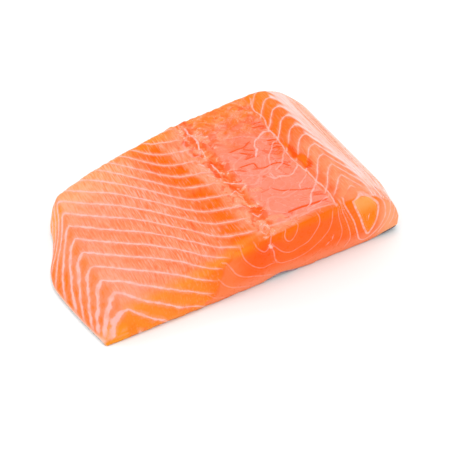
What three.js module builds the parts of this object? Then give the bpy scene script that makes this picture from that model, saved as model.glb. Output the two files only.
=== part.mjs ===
// Raw salmon fillet: a thick portion cut across one side of a salmon, lying on its skin with the flesh up.
// Two pieces: the flesh, one solid, and the skin, a thin layer that runs under all of it.
//
// Lengths are millimetres. Everything is worked out in the cut frame: x runs across the side, from the
// belly edge to the back of the fish, y along the fish, from the near cut to the far cut, and z up from
// the surface that the skin rests on. The last lines move the middle of the underside to the origin.

import * as THREE from "three";

// ---- Driving dimensions ----

// Outline seen from above
const ACROSS = 179.4; // x of the widest place of the rounded back, past the near belly corner
const BACK_PULL = { amount: 4.2, reach: 22 }; // the back's edge comes in by this much at the near cut
const BACK_TUCK = { amount: 3, reach: 11 }; // and by this much at the far cut
const BELLY_EDGE = [[0, -0.6], [20, -4.6], [36, -7], [47, -8], [57, -6.2], [70, 0.2], [81, 4.8],
  [98, 8.5]]; // y, x
const FAR_CUT = [[-8, 88.5], [12, 94.4], [40, 102], [60, 104.3], [100, 105.6], [160, 105.6],
  [180, 102]]; // x, y
const LENGTH = 105.6; // of the piece, along the fish
const CORNER = { nearBelly: 1.2, nearBack: 1.5, farBelly: 5, farBack: 8 }; // corner radii
const CUT_BULGE = { near: 1.6, far: 0.7 }; // how far soft flesh swells out of a cut face

// Thickness, from belly to back
const BELLY_HEIGHT = 20.6; // at the fold where the belly edge starts to slope down
const FOLD = [[0, 12], [12, 11.6], [26, 9.4], [44, 9], [60, 10.2], [80, 12.8], [100, 15.5]]; // y, x of it
const BELLY_SLOPE = [[0, 2.7], [0.16, 6], [0.5, 14], [0.72, 17.3], [1, 20.4]]; // share from edge to fold, z
const FOLD_BLEND = [0.85, 1.35]; // the shares between which that slope turns into the belly side
const MIDLINE = 90; // x of the ridge beside the torn midline band
const MIDLINE_BLEND = 6; // half the width over which the two sides meet there
const MIDLINE_HEIGHT = 33.2;
const MIDLINE_SAG = 1; // the belly side dips this much between fold and midline
const LOIN = 138; // x of the loin's crest
const LOIN_HEIGHT = 37.7;
const FLANK_START = 144; // x where the loin begins to round over to the back
const FLANK_FOOT = 6; // height of the back's edge
const FLANK_POWERS = [1.65, 0.53]; // superellipse powers of that rounding

// Rounding of the flesh where the two cuts end it
const THIN_PART = [55, 92]; // x between which the belly's soft rounding turns into the loin's crisp one
const NEAR_REACH = { belly: 16.5, loin: 2.5 }; // how far back the rounding reaches
const NEAR_FOOT = [[-8, 0.18], [5, 0.2], [40, 0.3], [56, 0.36], [66, 0.5], [76, 0.74], [90, 0.93], [155, 0.94],
  [179, 0.8]]; // x, share of the height left at the near cut's upper edge
const FAR_REACH = { belly: 5, loin: 3 };
const FAR_FOOT = 0.9; // the same share at the far cut

// Relief of the upper side
const SEGMENT = 10.4; // pitch of the muscle segments along the fish
const BEAT = 0.2; // share of the furrow's depth that comes and goes with the segments
const DRIFT = [57, 98]; // y between which the furrow and the seam drift sideways
const FADE = { reach: 8, left: 0.5 }; // the relief fades to this share near the two cuts
const FURROW = { x: 96.5, drift: -4, width: 3.9, depth: 2.6 }; // torn line where the side bones lay
const RIDGE = { x: 88, width: 3.6, height: 0.9 }; // ragged flakes beside it
const DISH = { x: 112, width: 12, depth: 0.9 }; // smooth hollow where the backbone lay
const SEAM = { x: 133, drift: 3, width: 2.2, depth: 0.6 }; // groove between backbone hollow and loin
const SLIT = { x: 135, y: 44, width: 2.6, length: 12, depth: 3 }; // gap torn open beside the seam

// Underside
const SKIN = 1.2; // thickness of the skin
const GAP = 0.3; // clearance between skin and flesh
const SKIN_INSET = 0.8; // flesh hangs over the skin's edge by this much
const BACK_LIFT = { from: 148, height: 4.5 }; // the underside curls up towards the back
const ARCH = { x: 100, width: 7, height: 2.1, reach: 14 }; // small arch under the near cut

// Mesh steps: cells across, cells along, rows down a side
const FLESH_STEPS = { across: 56, along: 32, rows: 4 };
const SKIN_STEPS = { across: 28, along: 16, rows: 1 };

const FLESH_COLOUR = 0xf98a5c;
const SKIN_COLOUR = 0x6d7480;

// ---- Small functions ----

const clamp = (v, low, high) => Math.min(high, Math.max(low, v));
const mix = (a, b, t) => a + (b - a) * t;
const bell = (v) => Math.exp(-v * v);

/** 0 below a, 1 above b, with a smooth rise between. */
function rise(a, b, v) {
  const t = clamp((v - a) / (b - a), 0, 1);
  return t * t * (3 - 2 * t);
}

/** Smooth curve through points [v, value] that never overshoots them: cubic Hermite, harmonic slopes. */
function through(points, v) {
  const last = points.length - 1;
  const x = clamp(v, points[0][0], points[last][0]);
  const slope = (i) => (points[i + 1][1] - points[i][1]) / (points[i + 1][0] - points[i][0]);
  const tangent = (i) => {
    if (i === 0) return slope(0);
    if (i === last) return slope(last - 1);
    const before = slope(i - 1);
    const after = slope(i);
    return before * after <= 0 ? 0 : (2 * before * after) / (before + after);
  };
  let i = 0;
  while (i < last - 1 && x > points[i + 1][0]) i += 1;
  const [x0, y0] = points[i];
  const [x1, y1] = points[i + 1];
  const h = x1 - x0;
  const t = (x - x0) / h;
  const start = (1 + 2 * t) * (1 - t) ** 2 * y0 + t * (1 - t) ** 2 * h * tangent(i);
  return start + t * t * (3 - 2 * t) * y1 + t * t * (t - 1) * h * tangent(i + 1);
}

/** How far a rounded corner of radius r pulls an edge in at distance d from the corner. */
function cornerPull(d, r) {
  return d >= r ? 0 : r - Math.sqrt(Math.max(0, r * r - (r - d) ** 2));
}

// ---- Outline ----

const bellyEdge = (y) => through(BELLY_EDGE, y);
const backEdge = (y) =>
  ACROSS - BACK_PULL.amount * (1 - rise(0, BACK_PULL.reach, y)) -
  BACK_TUCK.amount * rise(LENGTH - BACK_TUCK.reach, LENGTH, y);

/** y of the near cut and of the far cut at x, with the corners rounded. */
function cuts(x, left, right) {
  const near = cornerPull(x - left, CORNER.nearBelly) + cornerPull(right - x, CORNER.nearBack);
  const far = cornerPull(x - left, CORNER.farBelly) + cornerPull(right - x, CORNER.farBack);
  return [near, through(FAR_CUT, x) - far];
}

/** Place in the plan of shares s across and t along. inset shrinks the outline on every side. */
function plan(s, t, inset = 0) {
  const guess = t * LENGTH;
  const [left, right] = [bellyEdge(guess), backEdge(guess)];
  const [near, far] = cuts(mix(left, right, s), left, right);
  const y = mix(near + inset, far - inset, t);
  return [mix(bellyEdge(y) + inset, backEdge(y) - inset, s), y];
}

// ---- Heights ----

/** Belly side: a slope of straight rise from fold to midline that sags a little. */
function bellySide(x) {
  const share = clamp((x - FOLD[0][1]) / (MIDLINE - FOLD[0][1]), 0, 1);
  return mix(BELLY_HEIGHT, MIDLINE_HEIGHT, share) - MIDLINE_SAG * Math.sin(Math.PI * share);
}

/** Back side: a straight rise to the loin's crest, then a superellipse down to the back's edge. */
function backSide(x, edge) {
  const crest = mix(MIDLINE_HEIGHT, LOIN_HEIGHT, clamp((x - MIDLINE) / (LOIN - MIDLINE), 0, 1));
  const share = clamp((x - FLANK_START) / (edge - FLANK_START), 0, 1);
  const [outer, inner] = FLANK_POWERS;
  return FLANK_FOOT + (crest - FLANK_FOOT) * (1 - share ** outer) ** inner;
}

/** Height between the two cuts: the belly's sloping edge, the belly side and the back side. */
function body(x, y) {
  const loin = rise(MIDLINE - MIDLINE_BLEND, MIDLINE + MIDLINE_BLEND, x);
  const whole = mix(bellySide(x), backSide(x, backEdge(y)), loin);
  const share = (x - bellyEdge(y)) / (through(FOLD, y) - bellyEdge(y));
  return mix(through(BELLY_SLOPE, share), whole, rise(...FOLD_BLEND, share));
}

/** Share of the height left at distance d from a cut whose rounding reaches that far, from foot up to 1. */
function rounded(d, reach, foot) {
  const t = clamp(d / reach, 0, 1);
  return mix(foot, 1, Math.sqrt(1 - (1 - t) ** 2));
}

/** Raised and sunken detail: furrow, flakes, hollow, seam and slit. */
function relief(x, y) {
  const beat = Math.cos((2 * Math.PI * y) / SEGMENT);
  const drift = rise(...DRIFT, y);
  const furrow = FURROW.depth * bell((x - FURROW.x - FURROW.drift * drift) / FURROW.width);
  const ridge = RIDGE.height * bell((x - RIDGE.x) / RIDGE.width);
  const dish = DISH.depth * bell((x - DISH.x) / DISH.width);
  const seam = SEAM.depth * bell((x - SEAM.x - SEAM.drift * drift) / SEAM.width);
  const slit = SLIT.depth * bell((x - SLIT.x) / SLIT.width) * bell((y - SLIT.y) / SLIT.length);
  return ridge * (1 + beat) - furrow * (1 - BEAT + BEAT * beat) - dish - seam - slit;
}

/** Height of the flesh's upper side. */
function upper(x, y) {
  const far = through(FAR_CUT, x);
  const belly = 1 - rise(...THIN_PART, x);
  const near = rounded(y, mix(NEAR_REACH.loin, NEAR_REACH.belly, belly), through(NEAR_FOOT, x));
  const back = rounded(far - y, mix(FAR_REACH.loin, FAR_REACH.belly, belly), FAR_FOOT);
  const inside = rise(0, FADE.reach, y) * rise(0, FADE.reach, far - y);
  return body(x, y) * near * back + relief(x, y) * mix(FADE.left, 1, inside);
}

/** Height of the skin's underside: flat, curled up at the back and arched at one place of the near cut. */
function underside(x, y) {
  const share = clamp((x - BACK_LIFT.from) / (ACROSS - BACK_LIFT.from), 0, 1);
  const arch = ARCH.height * bell((x - ARCH.x) / ARCH.width) * (1 - rise(0, ARCH.reach, y));
  return BACK_LIFT.height * share * share + arch;
}

// ---- Meshes ----

/** The grid's outer places in order, seen from above anticlockwise from the near belly corner. */
function border(across, along) {
  const ring = [];
  for (let i = 0; i < across; i += 1) ring.push([i, 0]);
  for (let j = 0; j < along; j += 1) ring.push([across, j]);
  for (let i = across; i > 0; i -= 1) ring.push([i, along]);
  for (let j = along; j > 0; j -= 1) ring.push([0, j]);
  return ring;
}

/**
 * Closed body between two sheets over one plan: a fine upper grid, rows down the sides and a lower grid
 * with cells twice as large. Each of top, side and bottom gives a point: top(s, t), bottom(s, t), and
 * side(s, t, v) with v from 0 at the upper edge to 1 at the lower edge.
 */
function layer({ across, along, rows }, top, side, bottom) {
  const points = [];
  const faces = [];
  const add = (point) => points.push(point) - 1;
  const quad = (a, b, c, d) => faces.push([a, b, c], [a, c, d]);

  const upperGrid = [];
  for (let j = 0; j <= along; j += 1) {
    upperGrid.push([]);
    for (let i = 0; i <= across; i += 1) upperGrid[j].push(add(top(i / across, j / along)));
  }
  for (let j = 0; j < along; j += 1) {
    for (let i = 0; i < across; i += 1) {
      quad(upperGrid[j][i], upperGrid[j][i + 1], upperGrid[j + 1][i + 1], upperGrid[j + 1][i]);
    }
  }

  const ring = border(across, along);
  let above = ring.map(([i, j]) => upperGrid[j][i]);
  for (let row = 1; row <= rows; row += 1) {
    const below = ring.map(([i, j]) => add(side(i / across, j / along, row / rows)));
    ring.forEach((_, n) => {
      const next = (n + 1) % ring.length;
      quad(below[n], below[next], above[next], above[n]);
    });
    above = below;
  }

  const lower = new Map(ring.map(([i, j], n) => [`${i},${j}`, above[n]]));
  const lowerPoint = (i, j) => {
    const key = `${i},${j}`;
    if (!lower.has(key)) lower.set(key, add(bottom(i / across, j / along)));
    return lower.get(key);
  };
  for (let j = 0; j < along; j += 2) {
    for (let i = 0; i < across; i += 2) {
      // The cell's corners, and the middle of each of its edges that lies on the border, anticlockwise.
      const outline = [[i, j], [i + 2, j], [i + 2, j + 2], [i, j + 2]].flatMap(([a, b], n, corners) => {
        const [c, d] = corners[(n + 1) % corners.length];
        const middle = [(a + c) / 2, (b + d) / 2];
        const outside = middle[0] === 0 || middle[0] === across || middle[1] === 0 || middle[1] === along;
        return outside ? [[a, b], middle] : [[a, b]];
      });
      // A fan from a corner that is not on the border.
      const inner = outline.findIndex(([a, b]) => a > 0 && a < across && b > 0 && b < along);
      const fan = outline.map((_, n) => lowerPoint(...outline[(inner + n) % outline.length]));
      for (let n = 1; n < fan.length - 1; n += 1) faces.push([fan[0], fan[n + 1], fan[n]]);
    }
  }

  const geometry = new THREE.BufferGeometry();
  geometry.setAttribute("position", new THREE.Float32BufferAttribute(points.flat(), 3));
  geometry.setIndex(faces.flat());
  geometry.computeVertexNormals();
  return geometry;
}

/** How far a side swells out at v down it: along y, at the two cuts only. */
function swell(t, v) {
  const out = Math.sin(Math.PI * v);
  if (t === 0) return -CUT_BULGE.near * out;
  return t === 1 ? CUT_BULGE.far * out : 0;
}

function fleshGeometry() {
  const floor = (x, y) => underside(x, y) + SKIN + GAP;
  const top = (s, t) => {
    const [x, y] = plan(s, t);
    return [x, y, upper(x, y)];
  };
  const side = (s, t, v) => {
    const [x, y] = plan(s, t);
    const corners = Math.sqrt(Math.sin(Math.PI * clamp(s, 0, 1)));
    return [x, y + swell(t, v) * corners, mix(upper(x, y), floor(x, y), v)];
  };
  const bottom = (s, t) => {
    const [x, y] = plan(s, t);
    return [x, y, floor(x, y)];
  };
  return layer(FLESH_STEPS, top, side, bottom);
}

function skinGeometry() {
  const sheet = (lift) => (s, t) => {
    const [x, y] = plan(s, t, SKIN_INSET);
    return [x, y, underside(x, y) + lift];
  };
  const bottom = sheet(0);
  return layer(SKIN_STEPS, sheet(SKIN), bottom, bottom);
}

/** A named piece of food: matt enough to be wet flesh or skin, never metal. */
function piece(name, geometry, colour, roughness) {
  const material = new THREE.MeshStandardMaterial({ color: colour, roughness, metalness: 0 });
  const mesh = new THREE.Mesh(geometry, material);
  mesh.name = name;
  return mesh;
}

const fillet = new THREE.Group();
fillet.add(piece("flesh", fleshGeometry(), FLESH_COLOUR, 0.35));
fillet.add(piece("skin", skinGeometry(), SKIN_COLOUR, 0.3));

// The origin goes to the middle of the underside.
const extent = new THREE.Box3().setFromObject(fillet, true);
const middle = extent.getCenter(new THREE.Vector3());
fillet.children.forEach((mesh) => mesh.geometry.translate(-middle.x, -middle.y, -extent.min.z));

export default fillet;
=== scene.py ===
"""Raw salmon fillet: a thick portion cut across one side of a salmon, on its skin with the flesh up.

The file is laid out as a Blender add-on and is run as a script. The shape functions work in millimetres
in the cut frame: x runs across the side from the belly edge to the back of the fish, y along the fish from
the near cut to the far cut, and z up from the surface that the skin rests on.
"""

import math
from types import SimpleNamespace

import bpy
import numpy as np
from bpy.props import FloatProperty, FloatVectorProperty, PointerProperty
from mathutils import Matrix, Vector


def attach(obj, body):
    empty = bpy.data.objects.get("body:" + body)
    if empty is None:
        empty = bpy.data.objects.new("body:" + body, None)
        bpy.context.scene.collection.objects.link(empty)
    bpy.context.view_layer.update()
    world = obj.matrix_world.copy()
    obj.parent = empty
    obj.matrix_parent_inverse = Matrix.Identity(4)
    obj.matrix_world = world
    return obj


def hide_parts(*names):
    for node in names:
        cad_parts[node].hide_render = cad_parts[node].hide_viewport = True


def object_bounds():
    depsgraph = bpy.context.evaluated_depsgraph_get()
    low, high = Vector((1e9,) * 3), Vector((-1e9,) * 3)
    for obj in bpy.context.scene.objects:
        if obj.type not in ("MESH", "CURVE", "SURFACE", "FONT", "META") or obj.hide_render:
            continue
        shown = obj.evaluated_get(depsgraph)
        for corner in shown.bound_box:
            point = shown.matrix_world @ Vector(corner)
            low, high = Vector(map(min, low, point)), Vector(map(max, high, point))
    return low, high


bl_info = {
    "name": "Raw salmon fillet",
    "version": (1, 0, 0),
    "blender": (4, 5, 0),
    "location": "3D View > Sidebar > Fillet",
    "description": "Builds the flesh and the skin of a raw salmon fillet and the stage under it",
    "category": "Object",
}

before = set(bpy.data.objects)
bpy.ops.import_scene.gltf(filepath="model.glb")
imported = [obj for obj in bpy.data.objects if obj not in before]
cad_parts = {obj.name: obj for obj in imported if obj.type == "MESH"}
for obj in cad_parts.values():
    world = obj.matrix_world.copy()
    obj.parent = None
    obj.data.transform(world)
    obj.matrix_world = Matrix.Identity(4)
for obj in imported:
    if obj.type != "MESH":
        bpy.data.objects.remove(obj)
CAD_LOW, CAD_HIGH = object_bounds()
MM = 0.001

# ---- Outline, in mm: lists of [place, value] are curves through those points ----

BELLY_EDGE = [[0, -0.6], [20, -4.6], [36, -7], [47, -8], [57, -6.2], [70, 0.2], [81, 4.8], [98, 8.5]]  # y, x
FAR_CUT = [[-8, 88.5], [12, 94.4], [40, 102], [60, 104.3], [100, 105.6], [160, 105.6], [180, 102]]  # x, y
LENGTH = 105.6
ACROSS = 179.4
BACK_PULL = {"amount": 4.2, "reach": 22}
BACK_TUCK = {"amount": 3, "reach": 11}
CORNER = {"near belly": 1.2, "near back": 1.5, "far belly": 5, "far back": 8}
CUT_BULGE = {"near": 1.6, "far": 0.7}
BELLY_TIP = -8.0  # x of the outline's leftmost place, where the solid's box starts
TRIM = 0.05  # how far the outline stays inside the solid's

# ---- Thickness ----

BELLY_HEIGHT = 20.6
FOLD = [[0, 12], [12, 11.6], [26, 9.4], [44, 9], [60, 10.2], [80, 12.8], [100, 15.5]]  # y, x
BELLY_SLOPE = [[0, 2.7], [0.16, 6], [0.5, 14], [0.72, 17.3], [1, 20.4]]  # share from edge to fold, z
FOLD_BLEND = (0.85, 1.35)
MIDLINE = 90
MIDLINE_BLEND = 6
MIDLINE_HEIGHT = 33.2
MIDLINE_SAG = 1
LOIN = 138
LOIN_HEIGHT = 37.7
FLANK_START = 144
FLANK_FOOT = 6
FLANK_POWERS = (1.65, 0.53)
THIN_PART = (55, 92)  # x between which the belly's long rounding at the cuts turns into the loin's short one
NEAR_REACH = {"belly": 16.5, "loin": 2.5}
NEAR_FOOT = [[-8, 0.18], [5, 0.2], [40, 0.3], [56, 0.36], [66, 0.5], [76, 0.74], [90, 0.93], [155, 0.94],
             [179, 0.8]]  # x, share of the height left
FAR_REACH = {"belly": 5, "loin": 3}
FAR_FOOT = 0.9

# ---- Relief ----

DRIFT = (57, 98)  # y between which the furrow and the seam drift sideways
FURROW = {"x": 96.5, "drift": -4, "width": 2.6, "depth": 0.9}
RIDGE = {"x": 88, "width": 3.6, "height": 0.6}
DISH = {"x": 112, "width": 12, "depth": 0.9}
SEAM = {"x": 132.6, "drift": 3, "width": 1.2, "depth": 0.7}
TORN = (84, 101)  # x between which the surface is ragged
FLAKE_HEIGHT = 0.5
CRUMB_HEIGHT = 0.3
BAND_SINK = 0.2
LUMP_HEIGHT = 0.35
TEAR_DEPTH = 0.55
SLIT_DEPTH = 1.3
CRACK_DEPTH = 0.5
STROKE_HEIGHT = 0.25
BED = {"start": (99, 103), "end": (129, 132), "rough": (62, 80)}  # x of its sides, y where it turns rough
BED_HEIGHT = {"near": 0.22, "far": 0.4}
PILLOW = {"height": 0.16, "power": 0.7, "stop": (95, 100), "start": (128, 134)}  # none between these x
CALM = {"reach": (0, 3), "left": 0.45}  # share of the relief that is left right at the cuts
NICKS = {"depth": 0.7, "reach": 2.5}  # of the far rim
RIPPLE = {"height": 0.26, "dip": 0.1}  # of the cut faces

# ---- Underside ----

SKIN = 1.2
CLEARANCE = 0.06
SKIN_INSET = 0.4
LIP_INSET = 3.5  # how far the skin is tucked in where the flesh hangs over it
LIP_HEIGHT = 0.15
LIP = {"belly": (88, 94), "loin": (110, 116), "back": (160, 166)}  # x where it ends, starts again and ends
FOOT_TUCK = {"depth": 0.6, "height": 1.8, "x": (45, 80), "uneven": 0.4}  # how the near cut rounds in there
BACK_LIFT = {"from": 148, "height": 4.5}
ARCH = {"x": 100, "width": 7, "height": 2.1, "reach": 14}

# ---- White partitions that follow one rule: their number at a place is whole on each of them ----

PITCH = [[40, 11.4], [50, 11.1], [60, 10.9], [70, 10.7], [80, 10.6], [112, 10.3], [120, 10.15], [132, 10],
         [138, 9.8], [148, 9.6]]  # x, distance along the fish from one partition to the next
LEAN = [  # x, partitions passed on the upper side
    [-8, -1.5], [6, -0.42], [10, -0.12], [14, 0.18], [18, 0.5], [26, 1.13], [35, 1.8], [45, 2.6], [50, 3.07],
    [60, 4.2], [70, 5.38], [75, 5.8], [80, 6], [90, 6.5], [97, 6.9], [105, 7.02], [112, 6.75], [120, 6.05],
    [128, 5.35], [132, 4.98], [136, 4.5], [140, 3.85], [144, 3.3], [148, 3.02], [150, 2.97], [155, 3.15],
    [160, 4.4], [165, 6.6], [170, 9.4], [175, 12.6], [178, 14.6],
]
LEAN_SHIFT = (140, 175)  # x between which the lean starts to follow the back's edge
CREST = {"near": 146.8, "far": 150.6, "y": (0, 80)}  # x of the crest's bend, before and past these y
CREST_LEAN = {"near": 0.27, "far": 0.14, "y": (55, 85), "width": 6}  # partitions passed in a mm beyond it
SEAM_DROP = {"x": 136, "width": 5, "drop": 0.45, "reach": (2, 16)}  # fewer at the near end of the seam
RIM_DROP = {"x": 70, "width": 9, "drop": 0.38, "reach": (2, 12)}  # and where the near cut's rim comes forward
CORNER_DROP = {"x": 13, "width": 6, "drop": 0.25, "reach": (8, 24), "height": (6, 12)}  # and at the corner
DEPTH_PITCH = [[40, 13], [50, 10.5], [60, 9], [70, 8]]  # x, distance downwards from one partition to the next
FALL = {"depth": 10.5, "x": (60, 110), "bend": 4}  # depth from which the number falls, and how softly
BEVEL_LEAN = [[0, 3.2], [3, 2.83], [5, 2.52], [7, 2.2], [9.5, 1.86], [12.5, 1.52], [14, 1.22], [15.9, 0.84],
              [18, 0.24], [20, 0]]  # z, partitions passed on the belly's sloping edge
BEVEL_SHARE = [  # partition, share of that
    [-1, -0.2], [0, 0.02], [1, 0.28], [2, 0.52], [3, 0.73], [4, 0.87], [5, 1], [7, 1.06],
]
BEVEL_HALF = [[0, 1.5], [1, 1.4], [2, 1.2], [3, 1.05], [5, 0.9], [8, 0.7]]  # partition, half its thickness
BEVEL_OFFSET = 0.1  # partitions fewer everywhere on that edge
BEVEL_DROP = {"drop": 0.34, "height": (4, 13), "number": (-0.5, 1.5)}  # and for the first ones high up
BEVEL_PAST = {"less": 0.12, "from": 4}  # partitions fewer in each mm, from so far past the fold
BEVEL_ROUNDS = 18  # in which the number on that edge is worked out

# ---- Zones of the flesh: a pair is where a zone or change begins and where it is full ----

TOP_FADE = (1.2, 2.4)  # below the upper side
SIDE_START = (0.2, 1.4)
CUT_START = (0.6, 2.2)
CUT_EDGE = (-0.6, 0.6)  # y from CUT_REACH
FAR_EDGE = (2, 6)  # from the far cut
CUT_LINES = {"x": (48, 50), "belly": (5, 8), "loin": (2.2, 4), "turn": (128, 132)}  # x, and how far in
TOP_LINES = (82, 84)  # x
STROKE_END = (1.1, 1.8)  # from the middle of a drawn stroke
STROKE_FAR = 6.0  # half widths, the most that is told apart
CUT_REACH = [[58, -1.5], [64.5, 0.3], [68, 1.7], [77, 2.7], [85, 4.2], [95, 6], [130, 6]]  # x, y of its end
BELLY_END = (84, 93)  # x
LINE_END = (84, 92)
BEVEL_END = (0.9, 1.08)  # share from edge to fold
BAND_MIDDLE = (88, 96)  # x
BED_START = (97, 101)
BED_END = (-1.5, 0.5)  # x from the seam
LOIN_START = (-0.8, 0.8)
PALE_START = {"near": 152.6, "far": 148.4, "y": (20, 60)}  # x of the flank's start, before and past these y
FLANK_BLEND = (-1.5, 3.5)  # x from there
BACK_BLEND = (6.5, 13)
SKIN_SIDE = (10, 75)  # x
SKIN_BACK = (100, 145)
RICH_PLACE = [[0, 82], [15, 83], [36, 82.5], [50, 79.5], [62, 77], [70, 76], [95, 71]]  # y, x, oiliest flesh
CORE_MIDDLE = [[7, 154], [13, 154.5], [20, 154], [28, 151.5], [35, 147.4]]  # z, x of the core on the cut
CORE_HALF = [[7, 0.2], [9.5, 1.6], [13, 3.4], [20, 5.3], [28, 6.2], [33, 5.6], [36.5, 3]]  # z, half its width
LINE_HALF = {"belly": 0.58, "midline": 0.32, "loin": 0.33, "flank": 0.45}  # half a partition's thickness

# ---- White strokes that are drawn one by one: strength, half width in mm, places on the curve ----

CUT_STROKES = [  # places are x and z on the cut face
    (0.85, 0.75, [(142.5, 35), (147, 36.8), (151.5, 35), (155.5, 31), (158.8, 26.5), (159.4, 20), (158.3, 14),
                 (156.3, 9.5), (154, 7.2), (151, 13), (148.6, 20), (145.2, 28), (142.5, 35)]),
    (0.7, 0.5, [(137.5, 38), (137, 35.5), (141, 27), (144.2, 20), (146.6, 12.5), (148.6, 6), (152, 3.6),
                (157, 4.8), (162, 9.5), (164.8, 16), (164, 23), (161.6, 28), (158, 32)]),
    (0.42, 0.42, [(134.8, 37), (136.6, 30), (139.5, 22), (142, 14), (142.4, 8), (140, 4)]),
    (0.65, 0.5, [(162, 31), (166.6, 26), (168, 20), (167.6, 14), (165, 9), (161.5, 4.8)]),
    (0.3, 0.4, [(133.3, 34), (134.6, 26), (136.6, 17), (136.2, 12), (134.3, 8)]),
    (0.6, 0.45, [(166, 28), (170, 22), (171, 17), (170.4, 12), (168.5, 8)]),
    (0.55, 0.4, [(170, 24), (172.6, 19), (173.4, 14), (172.4, 10)]),
    (0.38, 0.42, [(101.8, 33), (101.4, 28.5), (103.4, 24.6), (106, 24.3), (108.6, 28), (109.2, 33),
                  (107.6, 36)]),
    (0.36, 0.42, [(120.3, 37), (122, 33), (122.3, 29), (120.5, 25), (116, 20.3), (110, 17), (105, 16.2),
                  (100, 19), (96, 24), (94, 27)]),
    (0.3, 0.42, [(130, 34), (129.6, 25), (125, 18.3), (118, 13.5), (112, 10.4), (106, 9.5), (100, 10.6),
                 (96.5, 13.5)]),
    (0.14, 0.42, [(124, 10), (118, 5.5), (112, 3)]),
    (0.42, 0.5, [(94.6, 34), (93, 31), (93.2, 26), (95, 21), (95.8, 16), (97.5, 12.5)]),
    (0.95, 1.0, [(92.6, 26.6), (93.6, 24.6)]),
    (0.34, 0.45, [(79, 31), (82, 33), (84, 31.5), (85, 28.5), (87.5, 25.2), (90, 23.6), (92.6, 25.4)]),
    (0.3, 0.45, [(79.6, 32.4), (77.2, 29.4), (77.4, 25), (80, 20.4), (84, 16), (89, 13.2), (95.6, 12.6)]),
    (0.32, 0.5, [(66.8, 23.6), (68.6, 23.2), (70.6, 20), (73, 15.6), (77, 12.4), (84, 9.4), (90, 6.4),
                 (94.5, 4.4)]),
    (0.28, 0.5, [(63.4, 15.6), (64.4, 14), (66.5, 10.8), (70.5, 7.8), (77, 4.6), (81, 3)]),
    (0.22, 0.5, [(51, 13), (56, 9.2), (60.5, 4.8), (66, 2.2)]),
    (0.5, 0.55, [(131.2, 15.8), (131, 14.6)]),
    (0.5, 0.55, [(128.8, 12.6), (127.8, 11.8)]),
    (0.6, 0.45, [(153.6, 20.6), (153.4, 18.4)]),
]
TOP_STROKES = [  # places are x and y on the upper side
    (0.75, 0.5, [(132.4, 1), (133.8, 12), (133.3, 20), (133.5, 28), (132.6, 35), (131.3, 44), (132.4, 53),
                 (133.8, 63), (133.5, 70), (134.6, 77), (136, 83), (135.2, 91), (138, 100)]),
    (0.9, 0.6, [(133.5, 69.7), (129.5, 70), (124.6, 67.6), (121, 65), (119.8, 60.8), (116.8, 56.2)]),
    (0.6, 0.5, [(132, 59.8), (128.9, 59.5), (125.4, 55), (122, 52), (120, 47)]),
    (0.5, 0.5, [(131.4, 50), (128, 46.6), (125, 42.6), (121, 41)]),
    (0.75, 0.55, [(131.2, 37), (127.2, 33.8), (123.4, 32.7), (119.5, 35.3)]),
    (0.6, 0.5, [(115, 38.3), (116.6, 34.8), (118.8, 35)]),
    (0.5, 0.5, [(131.7, 28), (127.5, 25.3), (124.6, 23.6), (123.8, 21)]),
    (0.8, 0.55, [(131.8, 19), (126.6, 15), (123, 10), (120, 8)]),
    (0.6, 0.5, [(133.2, 9), (129, 7)]),
    # Painted highlight: the bright upper edge of the near cut along the bed's rim.
    (0.4, 0.6, [(133.3, 1.2), (129, 2), (123, 3.4), (117.6, 4.2), (112.5, 4.4)]),
    (0.45, 0.5, [(127.8, 7), (124.5, 5.8), (118.3, 5.5)]),
    (0.25, 0.5, [(133.6, 63), (128, 64.5), (118, 75), (110, 78)]),
    (0.25, 0.6, [(120, 47), (117, 42), (112, 41), (108, 36)]),
    (0.22, 0.6, [(110, 60), (104, 57), (101, 50), (106, 45), (113, 42)]),
    (0.2, 0.6, [(121, 21), (114, 20), (107, 24), (102, 17), (108, 10)]),
    (0.9, 0.7, [(94.6, 98.4), (94.8, 92), (95.8, 87.4), (95.6, 83.5), (93.6, 78.6)]),
    (0.4, 0.7, [(94.8, 92), (91.3, 89.6), (88, 85.8), (86.8, 81), (86.8, 76), (88, 73.2), (91, 73.5),
                (93.6, 78)]),
    (0.85, 0.5, [(94.3, 77.5), (94.1, 74.7), (93.4, 71.2)]),
    (0.8, 0.6, [(87.5, 65.7), (88.6, 64)]),
    (0.9, 0.6, [(93.2, 62.7), (93.4, 59.6), (93.6, 56.6)]),
    (0.6, 0.6, [(87.4, 55.4), (88.8, 53.3)]),
    (0.95, 0.55, [(93, 47.7), (94.3, 45.8), (96.2, 43.6), (98.8, 41.9)]),
    (0.7, 0.5, [(90, 35.9), (93.2, 38.4), (95.9, 35.6)]),
    (0.6, 0.6, [(89.6, 25.5), (91.7, 25)]),
    (0.75, 0.6, [(93.5, 17.7), (94.4, 15.3), (96.8, 16.3)]),
    (0.6, 0.6, [(92.6, 8), (94.1, 8.6), (95.4, 6.9)]),
    (0.3, 0.7, [(101.9, 38.8), (105.4, 37.4), (108.7, 38.9), (112.3, 43), (116.5, 43.9), (119.5, 43.8)]),
    (0.6, 0.5, [(116.7, 40), (116.9, 35.6), (118.6, 35)]),
    (0.5, 0.5, [(114.6, 23), (117.5, 23.8)]),
    (0.4, 0.8, [(96, 6), (104, 4.8), (109.6, 5.6), (114.6, 5.3)]),
]
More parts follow.
